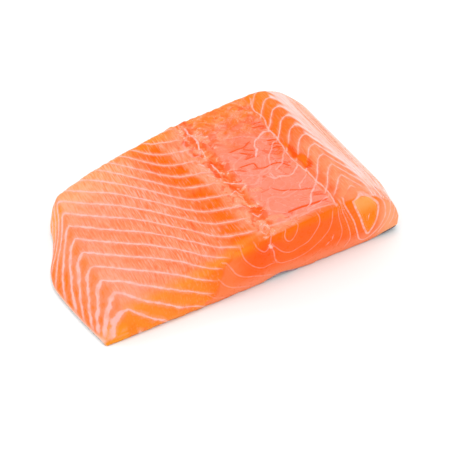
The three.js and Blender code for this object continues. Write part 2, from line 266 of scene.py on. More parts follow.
TEARS = [  # torn places that show darker flesh, with x and y on the upper side
    (1.0, 1.5, [(94.6, 64), (96.2, 62), (97.4, 60.4), (96.6, 58.4)]),
    (0.95, 1.6, [(92, 56.4), (91, 53)]),
    (0.85, 1.1, [(94.8, 51.1), (96.3, 48.2), (98, 45), (99.9, 43.9)]),
    (1.0, 1.2, [(93.7, 42.6), (96, 40.1), (97, 37.6), (97.2, 35.5)]),
    (1.0, 0.9, [(96.1, 31.8), (95.6, 27.7)]),
    (1.0, 1.5, [(95, 23.6), (97.7, 21), (99.9, 18.4)]),
    (0.8, 1.1, [(94.4, 20.2), (97, 17.6)]),
    (0.5, 0.6, [(93.4, 13.4), (96.8, 11.2)]),
    (0.75, 1.9, [(89, 86.8), (89.3, 84.6)]),
    (0.45, 1.5, [(94, 87.6), (93, 81.5), (89.1, 78.1)]),
    (0.7, 1.1, [(89.3, 74.2), (91, 72)]),
    (0.8, 0.8, [(96.8, 78.8), (97, 76.4)]),
    (0.6, 0.6, [(89.5, 63.2), (91.7, 61.8)]),
    (0.5, 0.7, [(112.9, 97.9), (118.2, 95.8)]),
    (0.6, 1.3, [(128.4, 95), (133.3, 93.9)]),
    (0.6, 1.2, [(123.5, 85.8), (126, 83.3), (129.3, 82)]),
    (0.7, 1.3, [(130.4, 73.6), (132.6, 73.8)]),
    (0.6, 0.8, [(126, 76), (131.1, 74.4)]),
    (0.5, 0.9, [(130.7, 88.2), (130.8, 85)]),
    (0.8, 0.6, [(125.2, 42.6), (129.6, 41)]),
    (0.6, 0.5, [(124.6, 40.3), (127, 36.8)]),
]
LUMPS = [  # pale soft lumps beside the furrow, with x and y on the upper side
    (0.9, 2.2, [(86.8, 64.4), (86.2, 57), (86.6, 50.5)]),
    (0.8, 2, [(88.6, 45.5), (90.2, 39.4), (90.4, 34)]),
    (0.8, 2.4, [(90.4, 28), (89.2, 19.6), (90.2, 12)]),
    (0.6, 1.6, [(101.4, 34.4), (105, 33)]),
    (0.6, 1.5, [(91.4, 67), (92.6, 70)]),
    (0.7, 1.8, [(98.8, 12), (105, 8.4)]),
]
SLIT = [  # the slit beside the seam, with x and y on the upper side
    (1.0, 1.2, [(135, 58), (135.3, 54.6), (135.3, 51)]),
    (1.0, 1.9, [(135.3, 51), (135.2, 47.6), (134.4, 44.4)]),
    (1.0, 2.8, [(136.6, 42), (137, 38.5), (136.4, 34.4)]),
]
SLIT_SHADE_PLACES = [  # its deepest places, along the shadowed crease, where painted shade goes
    (1.0, 1.4, [(136, 52.4), (136, 48.4), (134.6, 44.6)]),
    (0.9, 2.0, [(139.2, 36.5), (137.6, 33.8), (135.6, 33)]),
]
CRACKS = [  # places are x and y on the upper side
    (0.9, 0.7, [(107, 66.8), (111, 67), (114.6, 66.5), (119.3, 68.4)]),
    (1.0, 0.6, [(105.5, 53), (110.5, 52.8), (113.2, 51.8), (113.4, 48), (116.4, 45.9), (121, 45.8), (125, 44),
                (127.6, 39.4)]),
    (0.6, 0.6, [(111, 48), (115, 46.4)]),
    (0.8, 0.6, [(98, 54), (102, 52), (106, 49.2)]),
    (0.8, 0.6, [(112, 29.5), (114.4, 25.8), (118.5, 23.5), (123, 20.2), (129, 17)]),
    (1.0, 0.9, [(110, 10), (116, 9.6), (122.3, 8), (130, 6.8)]),
    (0.5, 0.6, [(105.4, 30), (109.2, 30.2)]),
    (0.6, 0.6, [(122, 57.5), (127.5, 53), (130, 53.5)]),
    (0.6, 0.6, [(122.6, 55), (127, 50.6), (130, 51)]),
    (0.5, 0.6, [(114, 60.4), (117.4, 58)]),
    (0.6, 0.6, [(113, 58.6), (117.4, 55.6)]),
    (0.7, 0.7, [(127, 12.6), (131.6, 10.4)]),
    (0.6, 0.7, [(126.4, 14.6), (131.4, 13)]),
    (1.0, 0.8, [(128.6, 62.8), (132.4, 61.8)]),
    (1.0, 0.8, [(128.2, 59.4), (132.4, 58.4)]),
    (1.0, 0.8, [(127, 56.4), (131.8, 55.4)]),
    (1.0, 0.8, [(111.6, 62.7), (114.9, 59.3)]),
    (0.9, 0.7, [(114.4, 64.6), (117.8, 61.6)]),
    (0.9, 0.8, [(111.5, 57.4), (116.1, 57)]),
    (0.9, 0.8, [(127.6, 80.4), (132.6, 79)]),
    (0.9, 0.8, [(127.6, 76.9), (132.6, 75.4)]),
    # The last two are painted shadow: the dark crease along the slit's edge, drawn as cracks.
    (1.0, 0.5, [(134.9, 53), (134.6, 48.6), (133.8, 45)]),
    (1.0, 0.6, [(134.9, 40.8), (135.1, 37.6), (134.8, 34)]),
]

# ---- Meshes ----

FLESH_STEPS = {"across": 288, "along": 152, "rows": 56}
SKIN_STEPS = {"across": 160, "along": 96, "rows": 4}
BACK_CROWD = 0.08  # share of the width over which the grid's columns crowd towards the back
NEAR_CROWD = 0.12  # share of the length over which its rows crowd towards the near cut
CAP_RINGS = (  # size of each ring under a piece, and that it keeps one point in so many of the ring before
    (0.975, 1), (0.955, 2), (0.92, 2), (0.85, 2), (0.7, 2), (0.45, 1), (0.2, 1),
)
SLOPE_STEP = 0.15  # to both sides, in mm, over which the partitions' slope is measured
SLOPE_LIMITS = (0.02, 2.0)  # partitions in a mm

# ---- Finishes ----

FIBRE_TURN = 3  # degrees between the fibres and the length of the fish
CREASE_TURN = 29
STREAK_TURN = 1
TINTS = {  # shares of red, green and blue that are left
    "cloud": (1.0, 0.88, 0.76),
    "side": (1.0, 0.84, 0.78),
    "fibre": (1.0, 0.5, 0.2),
    "bristle": (1.0, 0.66, 0.44),
    "pink": (1.0, 0.84, 0.72),
    "crease": (1.0, 0.45, 0.2),
    "outer": (0.94, 0.62, 0.42),
    "scale": (0.6, 0.58, 0.62),
    "spot": (0.76, 0.72, 0.76),
}

# ---- Light, floor and camera: places and sizes are in metres ----

LIGHT = {"sky": 1.18, "floor": 1.14, "lamp": 0.24}  # on a surface that faces each, 1 showing its own colour
LIGHT_BALANCE = (0.94, 1.04, 1.04)  # share of red, green and blue in it
HOLLOW_SHADE = 0.22  # share of the light that is lost in the furrow and the slit
LAMP_PLACE = (0.12, 0.04, 1.0)  # from the middle of the fillet
LAMP_TARGET = (0, 0, 0.02)
KEY_SIZE = 0.5
GLINT_PLACE = (-0.3, 0.45, 0.6)
GLINT_SIZE = 0.05
FLOOR_SIZE = 6.0
FLOOR_ROUGHNESS = 0.9
SENSOR = 36
CAMERA_TARGET = (93.71, 49.08, 0.0)  # in the cut frame, in mm


# ---- Small functions on arrays ----

def mix(a, b, share):
    """a at share 0, b at share 1, in proportion between."""
    return a + (b - a) * share


def bell(v):
    """A bump: e to the minus v squared."""
    return np.exp(-v * v)


def rise(low, high, v):
    """0 below low, 1 above high, and 3tt - 2ttt between, t being the share of the way."""
    t = np.clip((v - low) / (high - low), 0, 1)
    return t * t * (3 - 2 * t)


def through(points, v):
    """Cubic Hermite curve through [place, value] points, with harmonic means of the slopes as tangents."""
    x, y = np.array(points, float).T
    step = np.diff(x)
    slope = np.diff(y) / step
    before, after = slope[:-1], slope[1:]
    same = before * after > 0
    inner = np.where(same, 2 * before * after / np.where(same, before + after, 1), 0)
    tangent = np.concatenate([slope[:1], inner, slope[-1:]])
    v = np.clip(v, x[0], x[-1])
    i = np.clip(np.searchsorted(x, v, side="right") - 1, 0, len(step) - 1)
    h = step[i]
    t = (v - x[i]) / h
    start = (1 + 2 * t) * (1 - t) ** 2 * y[i] + t * (1 - t) ** 2 * h * tangent[i]
    return start + t * t * (3 - 2 * t) * y[i + 1] + t * t * (t - 1) * h * tangent[i + 1]


def lattice(i, j, seed):
    """Repeatable random values from -1 to 1 at whole places i, j: the bits of both are stirred together."""
    h = (i.astype(np.int64) * 374761393 + j.astype(np.int64) * 668265263 + seed * 2147483647) & 0xFFFFFFFF
    h = ((h ^ (h >> 13)) * 1274126177) & 0xFFFFFFFF
    return ((h ^ (h >> 16)) & 0xFFFF) / 32767.5 - 1


def noise(x, y, seed=0):
    """Smooth random hills from -1 to 1, one to each unit: lattice values blended with rise."""
    i, j = np.floor(x), np.floor(y)
    u, w = rise(0, 1, x - i), rise(0, 1, y - j)
    near = mix(lattice(i, j, seed), lattice(i + 1, j, seed), u)
    far = mix(lattice(i, j + 1, seed), lattice(i + 1, j + 1, seed), u)
    return mix(near, far, w)


def rough(x, y, seed=0, octaves=3):
    """Sum of noise at sizes 1, 1/2, 1/4 and so on, each half as strong as the one before."""
    return sum(noise(x * 2 ** k, y * 2 ** k, seed + k) / 2 ** k for k in range(octaves))


def smooth_path(points, parts=5):
    """Catmull-Rom curve through the points, as short straight stretches."""
    p = np.array(points, float)
    p = np.vstack([2 * p[0] - p[1], p, 2 * p[-1] - p[-2]])
    a, b, c, d = p[:-3, None], p[1:-2, None], p[2:-1, None], p[3:, None]
    t = (np.arange(parts) / parts)[None, :, None]
    path = b + 0.5 * t * (c - a + t * (2 * a - 5 * b + 4 * c - d + t * (3 * b - a - 3 * c + d)))
    return np.vstack([path.reshape(-1, 2), p[-2]])


def nearest(strokes, a, b):
    """Strength, half width and distance in half widths of the stroke nearest to each place (a, b).

    The distance is the least of those to the straight stretches of all strokes, and it is negative on one
    side of a stroke and positive on the other.
    """
    least = np.full(a.shape, np.inf)
    strength, width, side = np.zeros(a.shape), np.ones(a.shape), np.ones(a.shape)
    for power, half, points in strokes:
        path = smooth_path(points)
        for start, end in zip(path[:-1], path[1:]):
            run = end - start
            u, w = a - start[0], b - start[1]
            share = np.clip((u * run[0] + w * run[1]) / (run @ run), 0, 1)
            gap = np.hypot(u - share * run[0], w - share * run[1]) / half
            closer = gap < least
            least = np.where(closer, gap, least)
            side = np.where(closer, np.where(w * run[0] > u * run[1], 1, -1), side)
            strength = np.where(closer, power, strength)
            width = np.where(closer, half, width)
    return strength, width, least * side


def drawn(strokes, a, b):
    """Strength of the nearest stroke times a bell of the distance over its half width."""
    strength, _, distance = nearest(strokes, a, b)
    return strength * bell(distance)


def patches(strokes, a, b):
    """Strength of the nearest stroke out to its half width and 0 beyond, with a ragged edge."""
    u = a + 0.9 * noise(a / 2.1, b / 2.1, 5) + 0.45 * noise(a / 0.9, b / 0.9, 7)
    w = b + 0.9 * noise(a / 2.1, b / 2.1, 6) + 0.45 * noise(a / 0.9, b / 0.9, 8)
    strength, _, distance = nearest(strokes, u, w)
    return strength * (1 - rise(0.6, 1.3, np.abs(distance)))


def linear(colour):
    """Screen colour to light: the standard curve of a display, undone."""
    c = np.array(colour, float)
    return np.where(c <= 0.04045, c / 12.92, ((c + 0.055) / 1.055) ** 2.4)


def damping(normals, hollow):
    """What turns a screen colour into the surface colour that shows it in the stage's bright light.

    It is one over the light on the surface: the sky's by how far it faces up, the floor's by how far it faces
    down, and the lamp's by the cosine of the angle to the lamp, all less where hollow is 1.
    """
    to_lamp = np.array(LAMP_PLACE) / np.linalg.norm(LAMP_PLACE)
    light = mix(LIGHT["floor"], LIGHT["sky"], (1 + normals[:, 2]) / 2)
    light = (light + LIGHT["lamp"] * np.maximum(normals @ to_lamp, 0)) * (1 - HOLLOW_SHADE * hollow)
    return 1 / (light[:, None] * np.array(LIGHT_BALANCE))


def shade(code):
    """Screen colour 0 to 1 from a six-digit hexadecimal number."""
    return tuple(((code >> shift) & 255) / 255 for shift in (16, 8, 0))


# ---- Outline ----

def belly_edge(y):
    """x of the belly's lower edge."""
    return through(BELLY_EDGE, y)


def back_edge(y):
    """x of the back's lower edge, pulled in towards both cuts."""
    pull = BACK_PULL["amount"] * (1 - rise(0, BACK_PULL["reach"], y))
    tuck = BACK_TUCK["amount"] * rise(LENGTH - BACK_TUCK["reach"], LENGTH, y)
    return ACROSS - pull - tuck


def corner_pull(distance, radius):
    """How far a rounded corner pulls an edge in: radius less a circle's height over the distance."""
    gap = radius - np.minimum(distance, radius)
    return radius - np.sqrt(np.maximum(radius * radius - gap * gap, 0))


def plan(s, t, inset=0.0, near_inset=None):
    """x and y at shares s across and t along the outline, shrunk by inset on every side."""
    guess = t * LENGTH
    left, right = belly_edge(guess), back_edge(guess)
    x = mix(left, right, s)
    near = corner_pull(x - left, CORNER["near belly"]) + corner_pull(right - x, CORNER["near back"])
    far = corner_pull(x - left, CORNER["far belly"]) + corner_pull(right - x, CORNER["far back"])
    start = near + (inset if near_inset is None else near_inset)
    y = mix(start, through(FAR_CUT, x) - far - inset, t)
    return mix(belly_edge(y) + inset, back_edge(y) - inset, s), y


# ---- Heights ----

def belly_side(x):
    """Straight rise from fold to midline that sags by half a sine wave."""
    share = np.clip((x - FOLD[0][1]) / (MIDLINE - FOLD[0][1]), 0, 1)
    return mix(BELLY_HEIGHT, MIDLINE_HEIGHT, share) - MIDLINE_SAG * np.sin(np.pi * share)


def back_side(x, edge):
    """Straight rise to the loin's crest, then a superellipse down to the back's edge."""
    crest = mix(MIDLINE_HEIGHT, LOIN_HEIGHT, np.clip((x - MIDLINE) / (LOIN - MIDLINE), 0, 1))
    share = np.clip((x - FLANK_START) / (edge - FLANK_START), 0, 1)
    outer, inner = FLANK_POWERS
    return FLANK_FOOT + (crest - FLANK_FOOT) * (1 - share ** outer) ** inner


def body(x, y):
    """Height between the cuts: the belly's sloping edge, the belly side and the back side, blended."""
    past = rise(MIDLINE - MIDLINE_BLEND, MIDLINE + MIDLINE_BLEND, x)
    whole = mix(belly_side(x), back_side(x, back_edge(y)), past)
    share = bevel_share(x, y)
    return mix(through(BELLY_SLOPE, share), whole, rise(*FOLD_BLEND, share))


def bevel_share(x, y):
    """Share of the way across the belly's sloping edge: 0 at its foot, 1 at the fold."""
    return (x - belly_edge(y)) / (through(FOLD, y) - belly_edge(y))


def rounded(distance, reach, foot):
    """Share of the height near a cut: from foot up to 1 along a quarter of an ellipse."""
    t = np.clip(distance / reach, 0, 1)
    return mix(foot, 1, np.sqrt(1 - (1 - t) ** 2))


def upper(x, y):
    """Height of the upper side without its fine relief."""
    belly = 1 - rise(*THIN_PART, x)
    near = rounded(y, mix(NEAR_REACH["loin"], NEAR_REACH["belly"], belly), through(NEAR_FOOT, x))
    far = rounded(through(FAR_CUT, x) - y, mix(FAR_REACH["loin"], FAR_REACH["belly"], belly), FAR_FOOT)
    return body(x, y) * near * far


def underside(x, y):
    """Height of the skin's lower face: flat, curled up at the back, arched at one place of the near cut."""
    share = np.clip((x - BACK_LIFT["from"]) / (ACROSS - BACK_LIFT["from"]), 0, 1)
    arch = ARCH["height"] * bell((x - ARCH["x"]) / ARCH["width"]) * (1 - rise(0, ARCH["reach"], y))
    return BACK_LIFT["height"] * share * share + arch


def lip(x):
    """1 where the flesh hangs over the skin at the near cut, 0 where the skin shows."""
    return 1 - rise(*LIP["belly"], x) + rise(*LIP["loin"], x) * (1 - rise(*LIP["back"], x))


# ---- Muscle segments ----

def segments(x, y, z):
    """Partition number at a place, whole on each white partition: y over the pitch, plus the lean there.

    The lean is the one on the upper side, less what the partitions lose with depth below it. On the
    belly's sloping edge the number is y over the pitch plus a curve of z, times a share that depends on the
    number itself, so it is worked out in rounds that each start from the last.
    """
    along = y / through(PITCH, x)
    shifted = x + (ACROSS - back_edge(y)) * rise(*LEAN_SHIFT, x)
    start = FALL["depth"] * rise(*FALL["x"], x)
    below = body(x, y) - z - start
    fall = 0.5 * (below + np.sqrt(below * below + FALL["bend"]))
    fall = fall - 0.5 * (np.sqrt(start * start + FALL["bend"]) - start)
    number = along + through(LEAN, shifted) - np.maximum(fall, 0) / through(DEPTH_PITCH, x)
    crest = np.maximum(x - mix(CREST["near"], CREST["far"], rise(*CREST["y"], y)), 0)
    steep = mix(CREST_LEAN["near"], CREST_LEAN["far"], rise(*CREST_LEAN["y"], y)) * CREST_LEAN["width"]
    number = number + steep * np.tanh(crest / CREST_LEAN["width"])
    for drop in (SEAM_DROP, RIM_DROP):
        number -= drop["drop"] * bell((x - drop["x"]) / drop["width"]) * (1 - rise(*drop["reach"], y))
    corner = bell((x - CORNER_DROP["x"]) / CORNER_DROP["width"]) * (1 - rise(*CORNER_DROP["reach"], y))
    number -= CORNER_DROP["drop"] * corner * rise(*CORNER_DROP["height"], z)
    bevel = through(BEVEL_LEAN, z)
    beyond = BEVEL_PAST["less"] * np.maximum(x - through(FOLD, y) - BEVEL_PAST["from"], 0)
    less = BEVEL_DROP["drop"] * rise(*BEVEL_DROP["height"], z)
    low = number
    for _ in range(BEVEL_ROUNDS):
        fewer = less * (1 - rise(*BEVEL_DROP["number"], low))
        low = along + through(BEVEL_SHARE, low) * bevel - fewer - BEVEL_OFFSET - beyond
    return np.maximum(number, low)


def far_distance(x, y):
    """Distance from the far cut."""
    return through(FAR_CUT, x) - y


def on_top(values, x, y, z):
    """values on the upper side, fading out below its edges."""
    return values * (1 - rise(*TOP_FADE, body(x, y) - z))


def cut_share(x, y, z):
    """1 on the two cut faces, 0 on the upper side: how far below the upper side, and close to a cut."""
    near = 1 - rise(*CUT_EDGE, y - through(CUT_REACH, x) + 0.9 * noise(x / 3.5, z / 3.5, 75))
    far = 1 - rise(*FAR_EDGE, far_distance(x, y))
    return rise(*CUT_START, body(x, y) - z) * np.maximum(near, far)


def cut_lines(x, y, z):
    """Strength and signed distance of the partitions on the two cut faces, which are a little wavy."""
    loin = rise(*CUT_LINES["turn"], x)
    end = np.minimum(y, far_distance(x, y) + 1)
    shown = mix(1 - rise(*CUT_LINES["belly"], end), 1 - rise(*CUT_LINES["loin"], end), loin)
    shown = shown * mix(rise(*SIDE_START, body(x, y) - z), 1, loin)
    wave = 0.2 * noise(x / 5, z / 5, 91)
    return visible(CUT_STROKES, x + wave, z - wave, shown * rise(*CUT_LINES["x"], x))


def top_lines(x, y, z):
    """Strength and signed distance of the strokes drawn on the upper side, which are a little wavy."""
    wave = 0.4 * noise(x / 3, y / 3, 93) + 0.2 * noise(x / 1.2, y / 1.2, 94)
    return visible(TOP_STROKES, x + wave, y - wave, on_top(rise(*TOP_LINES, x), x, y, z))


def visible(strokes, a, b, shown):
    """Strength and signed distance of the nearest stroke, worked out only at places where shown is not 0.

    The strength falls to 0 a little way from the stroke, because the sign of the distance jumps far from it.
    """
    at = shown > 0
    strength, distance = np.zeros(a.shape), np.full(a.shape, STROKE_FAR)
    power, width, gap = nearest(strokes, a[at], b[at])
    strength[at] = power * shown[at] * (1 - rise(*STROKE_END, np.abs(gap) * width))
    distance[at] = np.clip(gap, -STROKE_FAR, STROKE_FAR)
    return strength, distance


def lines(x, y, z):
    """Strength and signed distance of the drawn line at each place: the stronger of cut and upper side."""
    cut, cut_distance = cut_lines(x, y, z)
    top, top_distance = top_lines(x, y, z)
    return np.maximum(cut, top), np.where(cut > top, cut_distance, top_distance)


# ---- Relief ----

def seam_x(y):
    """x of the seam beside the loin."""
    return SEAM["x"] + SEAM["drift"] * rise(*DRIFT, y)


def furrow_x(y):
    """x of the torn furrow, which wanders a little."""
    return FURROW["x"] + FURROW["drift"] * rise(*DRIFT, y) + 1.1 * noise(y / 9, y * 0, 3)


def torn(x, y):
    """1 in the ragged band along the midline, 0 outside it, with an uneven edge."""
    edge = 2.2 * noise(x / 8, y / 5, 11)
    return rise(TORN[0] - 2, TORN[0] + 5, x + edge) * (1 - rise(TORN[1] - 3, TORN[1] + 3, x + edge))


def slit(x, y):
    """1 in the slit beside the seam, 0 outside it."""
    distance = nearest(SLIT, x, y)[2]
    return 1 - rise(0.75, 1.1, np.abs(distance) + 0.1 * noise(x / 1.5, y / 1.5, 12))


def relief(x, y, z, depth):
    """Raised and sunken detail of the upper side, times depth.

    Noise gives the flakes and crumbs of the torn band and the lumps of the bed. The ridge, the furrow, the
    dish and the seam are bells across the fish, and the lumps, tears, cracks and white strokes are bells or
    patches along their curves.
    """
    flakes = 1 - 2 * np.abs(rough(x / 4.2, y / 5.5, 31, 3))
    crumbs = rough(x / 1.6, y / 1.9, 37, 2)
    height = torn(x, y) * (FLAKE_HEIGHT * flakes + CRUMB_HEIGHT * crumbs - BAND_SINK)
    height += RIDGE["height"] * bell((x - RIDGE["x"]) / RIDGE["width"]) * (1 + 0.6 * noise(x / 5, y / 6, 41))
    furrow = FURROW["depth"] * (1 + 0.5 * noise(y / 6, y * 0, 43))
    height -= furrow * bell((x - furrow_x(y)) / FURROW["width"])
    height += LUMP_HEIGHT * patches(LUMPS, x, y) - TEAR_DEPTH * patches(TEARS, x, y)
    height -= DISH["depth"] * bell((x - DISH["x"]) / DISH["width"])
    height -= SEAM["depth"] * bell((x - seam_x(y)) / SEAM["width"])
    height -= SLIT_DEPTH * drawn(SLIT, x, y)
    bed = rise(*BED["start"], x) * (1 - rise(*BED["end"], x))
    height += bed * BED_HEIGHT["near"] * rough(x / 7, y / 6, 47, 2)
    height += bed * rise(*BED["rough"], y) * BED_HEIGHT["far"] * rough(x / 3, y / 3, 48, 2)
    strength, distance = top_lines(x, y, z)
    height += STROKE_HEIGHT * strength * bell(distance) - CRACK_DEPTH * on_top(drawn(CRACKS, x, y), x, y, z)
    return depth * height


# ---- Surfaces ----

def crowd(u, part):
    """Shares from 0 to 1 that crowd towards 0: a parabola over the first part, then a straight line."""
    turn = 2 * part / (1 + part)
    return np.where(u < turn, part * (u / turn) ** 2, part + (u - turn) * (1 - part) / (1 - turn))


def border(across, along):
    """Columns and rows of a grid's outer places, anticlockwise from above, from the near belly corner."""
    ends = np.full(along, across), np.zeros(along, int)
    columns = np.concatenate([np.arange(across), ends[0], np.arange(across, 0, -1), ends[1]])
    sides = np.zeros(across, int), np.full(across, along)
    rows = np.concatenate([sides[0], np.arange(along), sides[1], np.arange(along, 0, -1)])
    return columns, rows


def sheet_faces(first, columns, rows, wrap=False):
    """Quads of a grid of points numbered row by row from first. wrap closes each row into a ring."""
    i = np.arange(columns if wrap else columns - 1)
    j = np.arange(rows - 1)[:, None]
    right = (i + 1) % columns
    a, b = first + j * columns + i, first + j * columns + right
    return np.stack([a, b, b + columns, a + columns], axis=-1).reshape(-1, 4)


def closed(grid, walls, caps):
    """Closed surface: a grid, rings down from its border, then ever smaller rings and a middle point.

    A cap ring has as many points as the ring before it or half as many. With half, three triangles
    fill the space between two old points and one new one.
    """
    rows, columns = grid.shape[:2]
    i, j = border(columns - 1, rows - 1)
    ring = j * columns + i
    count = len(ring)
    first = rows * columns
    quads = [sheet_faces(0, columns, rows)]
    last = first + (len(walls) - 1) * count
    n = np.arange(count)
    after = (n + 1) % count
    quads.append(np.stack([first + n, first + after, ring[after], ring[n]], axis=-1))
    down = sheet_faces(first, count, len(walls), wrap=True)
    quads.append(down[:, [3, 2, 1, 0]])
    outer = last + n
    start = last + count
    triangles = []
    for cap in caps:
        size = len(cap)
        inner = start + np.arange(size)
        turned = np.roll(inner, -1)
        if size == len(outer):
            quads.append(np.stack([np.roll(outer, -1), outer, inner, turned], axis=-1))
        elif size == 1:
            triangles.append(np.stack([np.roll(outer, -1), outer, np.full(len(outer), start)], axis=-1))
        else:
            a, b, c = outer[0::2], outer[1::2], np.roll(outer, -2)[0::2]
            triangles.append(np.stack([b, a, inner], axis=-1))
            triangles.append(np.stack([b, inner, turned], axis=-1))
            triangles.append(np.stack([c, b, turned], axis=-1))
        outer = inner
        start += size
    points = np.concatenate([grid.reshape(-1, 3), walls.reshape(-1, 3), *caps])
    return points, np.concatenate(quads), np.concatenate(triangles)


def cap_rings(x, y, height):
    """Rings that halve in number as they shrink towards the middle of the outline, at height(x, y)."""
    middle_x, middle_y = x.mean(), y.mean()
    rings = []
    step = 1
    for scale, apart in CAP_RINGS:
        step *= apart
        rx = mix(middle_x, x[::step], scale)
        ry = mix(middle_y, y[::step], scale)
        rings.append(np.stack([rx, ry, height(rx, ry)], axis=-1))
    centre = np.array([[middle_x, middle_y, 0.0]])
    centre[:, 2] = height(centre[:, 0], centre[:, 1])
    return rings + [centre]


def flesh_top(depth):
    """Upper side of the flesh as a grid of points, and the shares across and along that it stands on.

    Between the partitions it swells like a pillow: a power of the sine of the partition number. The far
    rim is nicked by noise under a bell of the distance from the far cut.
    """
    s = 1 - crowd(np.linspace(1, 0, FLESH_STEPS["across"] + 1), BACK_CROWD)
    t = crowd(np.linspace(0, 1, FLESH_STEPS["along"] + 1), NEAR_CROWD)
    s, t = np.meshgrid(s, t)
    x, y = plan(s, t, TRIM)
    z = upper(x, y)
    far = far_distance(x, y)
    inside = rise(*CALM["reach"], y) * rise(*CALM["reach"], far)
    smooth = (1 - torn(x, y)) * (1 - rise(*PILLOW["stop"], x) * (1 - rise(*PILLOW["start"], x)))
    pillow = PILLOW["height"] * smooth * (np.abs(np.sin(np.pi * segments(x, y, z))) ** PILLOW["power"] - 1)
    z = z + relief(x, y, z, depth) * mix(CALM["left"], 1, inside) + pillow * inside
    z -= NICKS["depth"] * np.abs(noise(x / 2.3, y / 3, 51)) * bell(far / NICKS["reach"])
    return np.stack([x, y, z], axis=-1), s, t


def flesh_walls(edge, s, t):
    """Rings from the upper side's border down to the foot, with s and t the border's shares.

    The height goes down in equal steps. Both cuts swell by half a sine wave of the way down, ripple with
    noise and dip at the partitions. Where the flesh hangs over the skin, the foot rounds in along a quarter
    of a circle.
    """
    v = (np.arange(1, FLESH_STEPS["rows"] + 1) / FLESH_STEPS["rows"])[:, None]
    near, far = ((t == end) * 1.0 for end in (0, 1))
    hang = lip(edge[:, 0]) * near
    floor = underside(edge[:, 0], edge[:, 1])
    foot = mix(floor + SKIN + CLEARANCE, floor + LIP_HEIGHT, hang)
    corners = np.sqrt(np.sin(np.pi * np.clip(s, 0, 1)))
    out = np.sin(np.pi * v ** mix(1, 1.25, hang)) * corners
    swell = out * (far * 0.5 * CUT_BULGE["far"] - near * mix(0.4, 0.8 * CUT_BULGE["near"], hang))
    x = np.broadcast_to(edge[:, 0], swell.shape)
    z = mix(edge[:, 2], foot, v)
    strength, distance = cut_lines(x, edge[:, 1] + 0 * z, z)
    ripple = RIPPLE["height"] * noise(x / 6, z / 5, 61) - RIPPLE["dip"] * strength * bell(distance)
    y = edge[:, 1] + swell + (far - near) * (ripple * np.sin(np.pi * v)) * corners
    turn = np.clip(1 - (z - foot) / FOOT_TUCK["height"], 0, 1)
    y = y + FOOT_TUCK["depth"] * hang * rise(*FOOT_TUCK["x"], x) * corners * (1 - np.sqrt(1 - turn * turn))
    y = y + FOOT_TUCK["uneven"] * hang * corners * turn * noise(x / 3, z / 2, 63)
    return np.stack([x, y, z], axis=-1)


def flesh_surface(depth):
    """Points, quads and triangles of the flesh, in the cut frame, in mm."""
    grid, s, t = flesh_top(depth)
    i, j = border(FLESH_STEPS["across"], FLESH_STEPS["along"])
    walls = flesh_walls(grid[j, i], s[j, i], t[j, i])
    foot = walls[-1]
    caps = cap_rings(foot[:, 0], foot[:, 1], lambda a, b: underside(a, b) + SKIN + CLEARANCE)
    grid[:, :, 2] = np.minimum(grid[:, :, 2], CAD_HIGH[2] / MM - TRIM)
    return closed(grid, walls, caps)


def skin_surface(thickness):
    """Points, quads and triangles of the skin: its lower face is the fine grid, turned upside down."""
    across, along, rows = SKIN_STEPS.values()
    s, t = np.meshgrid(np.linspace(0, 1, across + 1), np.linspace(0, 1, along + 1))
    tucked = mix(SKIN_INSET, LIP_INSET, lip(plan(s, t)[0]))
    x, y = plan(s, t, SKIN_INSET, tucked)
    grid = np.stack([x, y, underside(x, y)], axis=-1)
    i, j = border(across, along)
    edge = grid[j, i]
    v = (np.arange(1, rows + 1) / rows)[:, None]
    wx, wy = (np.broadcast_to(edge[:, k], (rows, len(i))) for k in (0, 1))
    walls = np.stack([wx, wy, edge[:, 2] + thickness * v], axis=-1)
    caps = cap_rings(edge[:, 0], edge[:, 1], lambda a, b: underside(a, b) + thickness)
    points, quads, triangles = closed(grid, walls, caps)
    return points, quads[:, ::-1], triangles[:, ::-1]


# ---- Meshes and attributes ----

def shift():
    """Move in metres that brings a place from the cut frame to the row frame."""
    low = np.array(CAD_LOW)
    return np.array([low[0] - BELLY_TIP * MM, low[1] + CUT_BULGE["near"] * MM, 0.0])


def new_piece(name, surface):
    """Mesh object at the origin from points in mm, quads and triangles, shaded smooth."""
    points, quads, triangles = surface
    mesh = bpy.data.meshes.new(name)
    mesh.from_pydata((points * MM + shift()).tolist(), [], quads.tolist() + triangles.tolist())
    mesh.validate()
    mesh.update()
    mesh.polygons.foreach_set("use_smooth", [True] * len(mesh.polygons))
    piece = bpy.data.objects.new(name, mesh)
    bpy.context.scene.collection.objects.link(piece)
    return piece


def normals_of(mesh):
    """Vertex normals as an array."""
    values = np.empty(len(mesh.vertices) * 3, np.float32)
    mesh.vertex_normals.foreach_get("vector", values)
    return values.reshape(-1, 3).astype(float)


def keep(mesh, name, values):
    """Stores one number, or one colour, for each vertex."""
    colour = values.ndim == 2
    layer = mesh.attributes.new(name, "FLOAT_COLOR" if colour else "FLOAT", "POINT")
    if colour:
        values = np.concatenate([values, np.ones((len(values), 1))], axis=1)
    layer.data.foreach_set("color" if colour else "value", values.astype(np.float32).ravel())


def spacing(x, y, z, normals):
    """Distance on the surface from one partition to the next: one over the number's slope along it."""
    h = SLOPE_STEP
    slope = np.stack([
        segments(x + h, y, z) - segments(x - h, y, z),
        segments(x, y + h, z) - segments(x, y - h, z),
        segments(x, y, z + h) - segments(x, y, z - h),
    ], axis=-1) / (2 * h)
    flat = slope - normals * (slope * normals).sum(axis=1, keepdims=True)
    return 1 / np.clip(np.linalg.norm(flat, axis=1), *SLOPE_LIMITS)


# ---- Colours and marks of the flesh ----

class Paint:
    """Colour of each place, laid on in coats that cover what is below them by an amount from 0 to 1."""

    def __init__(self, palette, first, count):
        self.palette = {name: linear(colour) for name, colour in palette.items()}
        self.colour = np.broadcast_to(self.palette[first], (count, 3))

    def coat(self, name, amount):
        """Lays on one colour of the palette."""
        self.colour = mix(self.colour, self.palette[name], np.clip(amount, 0, 1)[:, None])


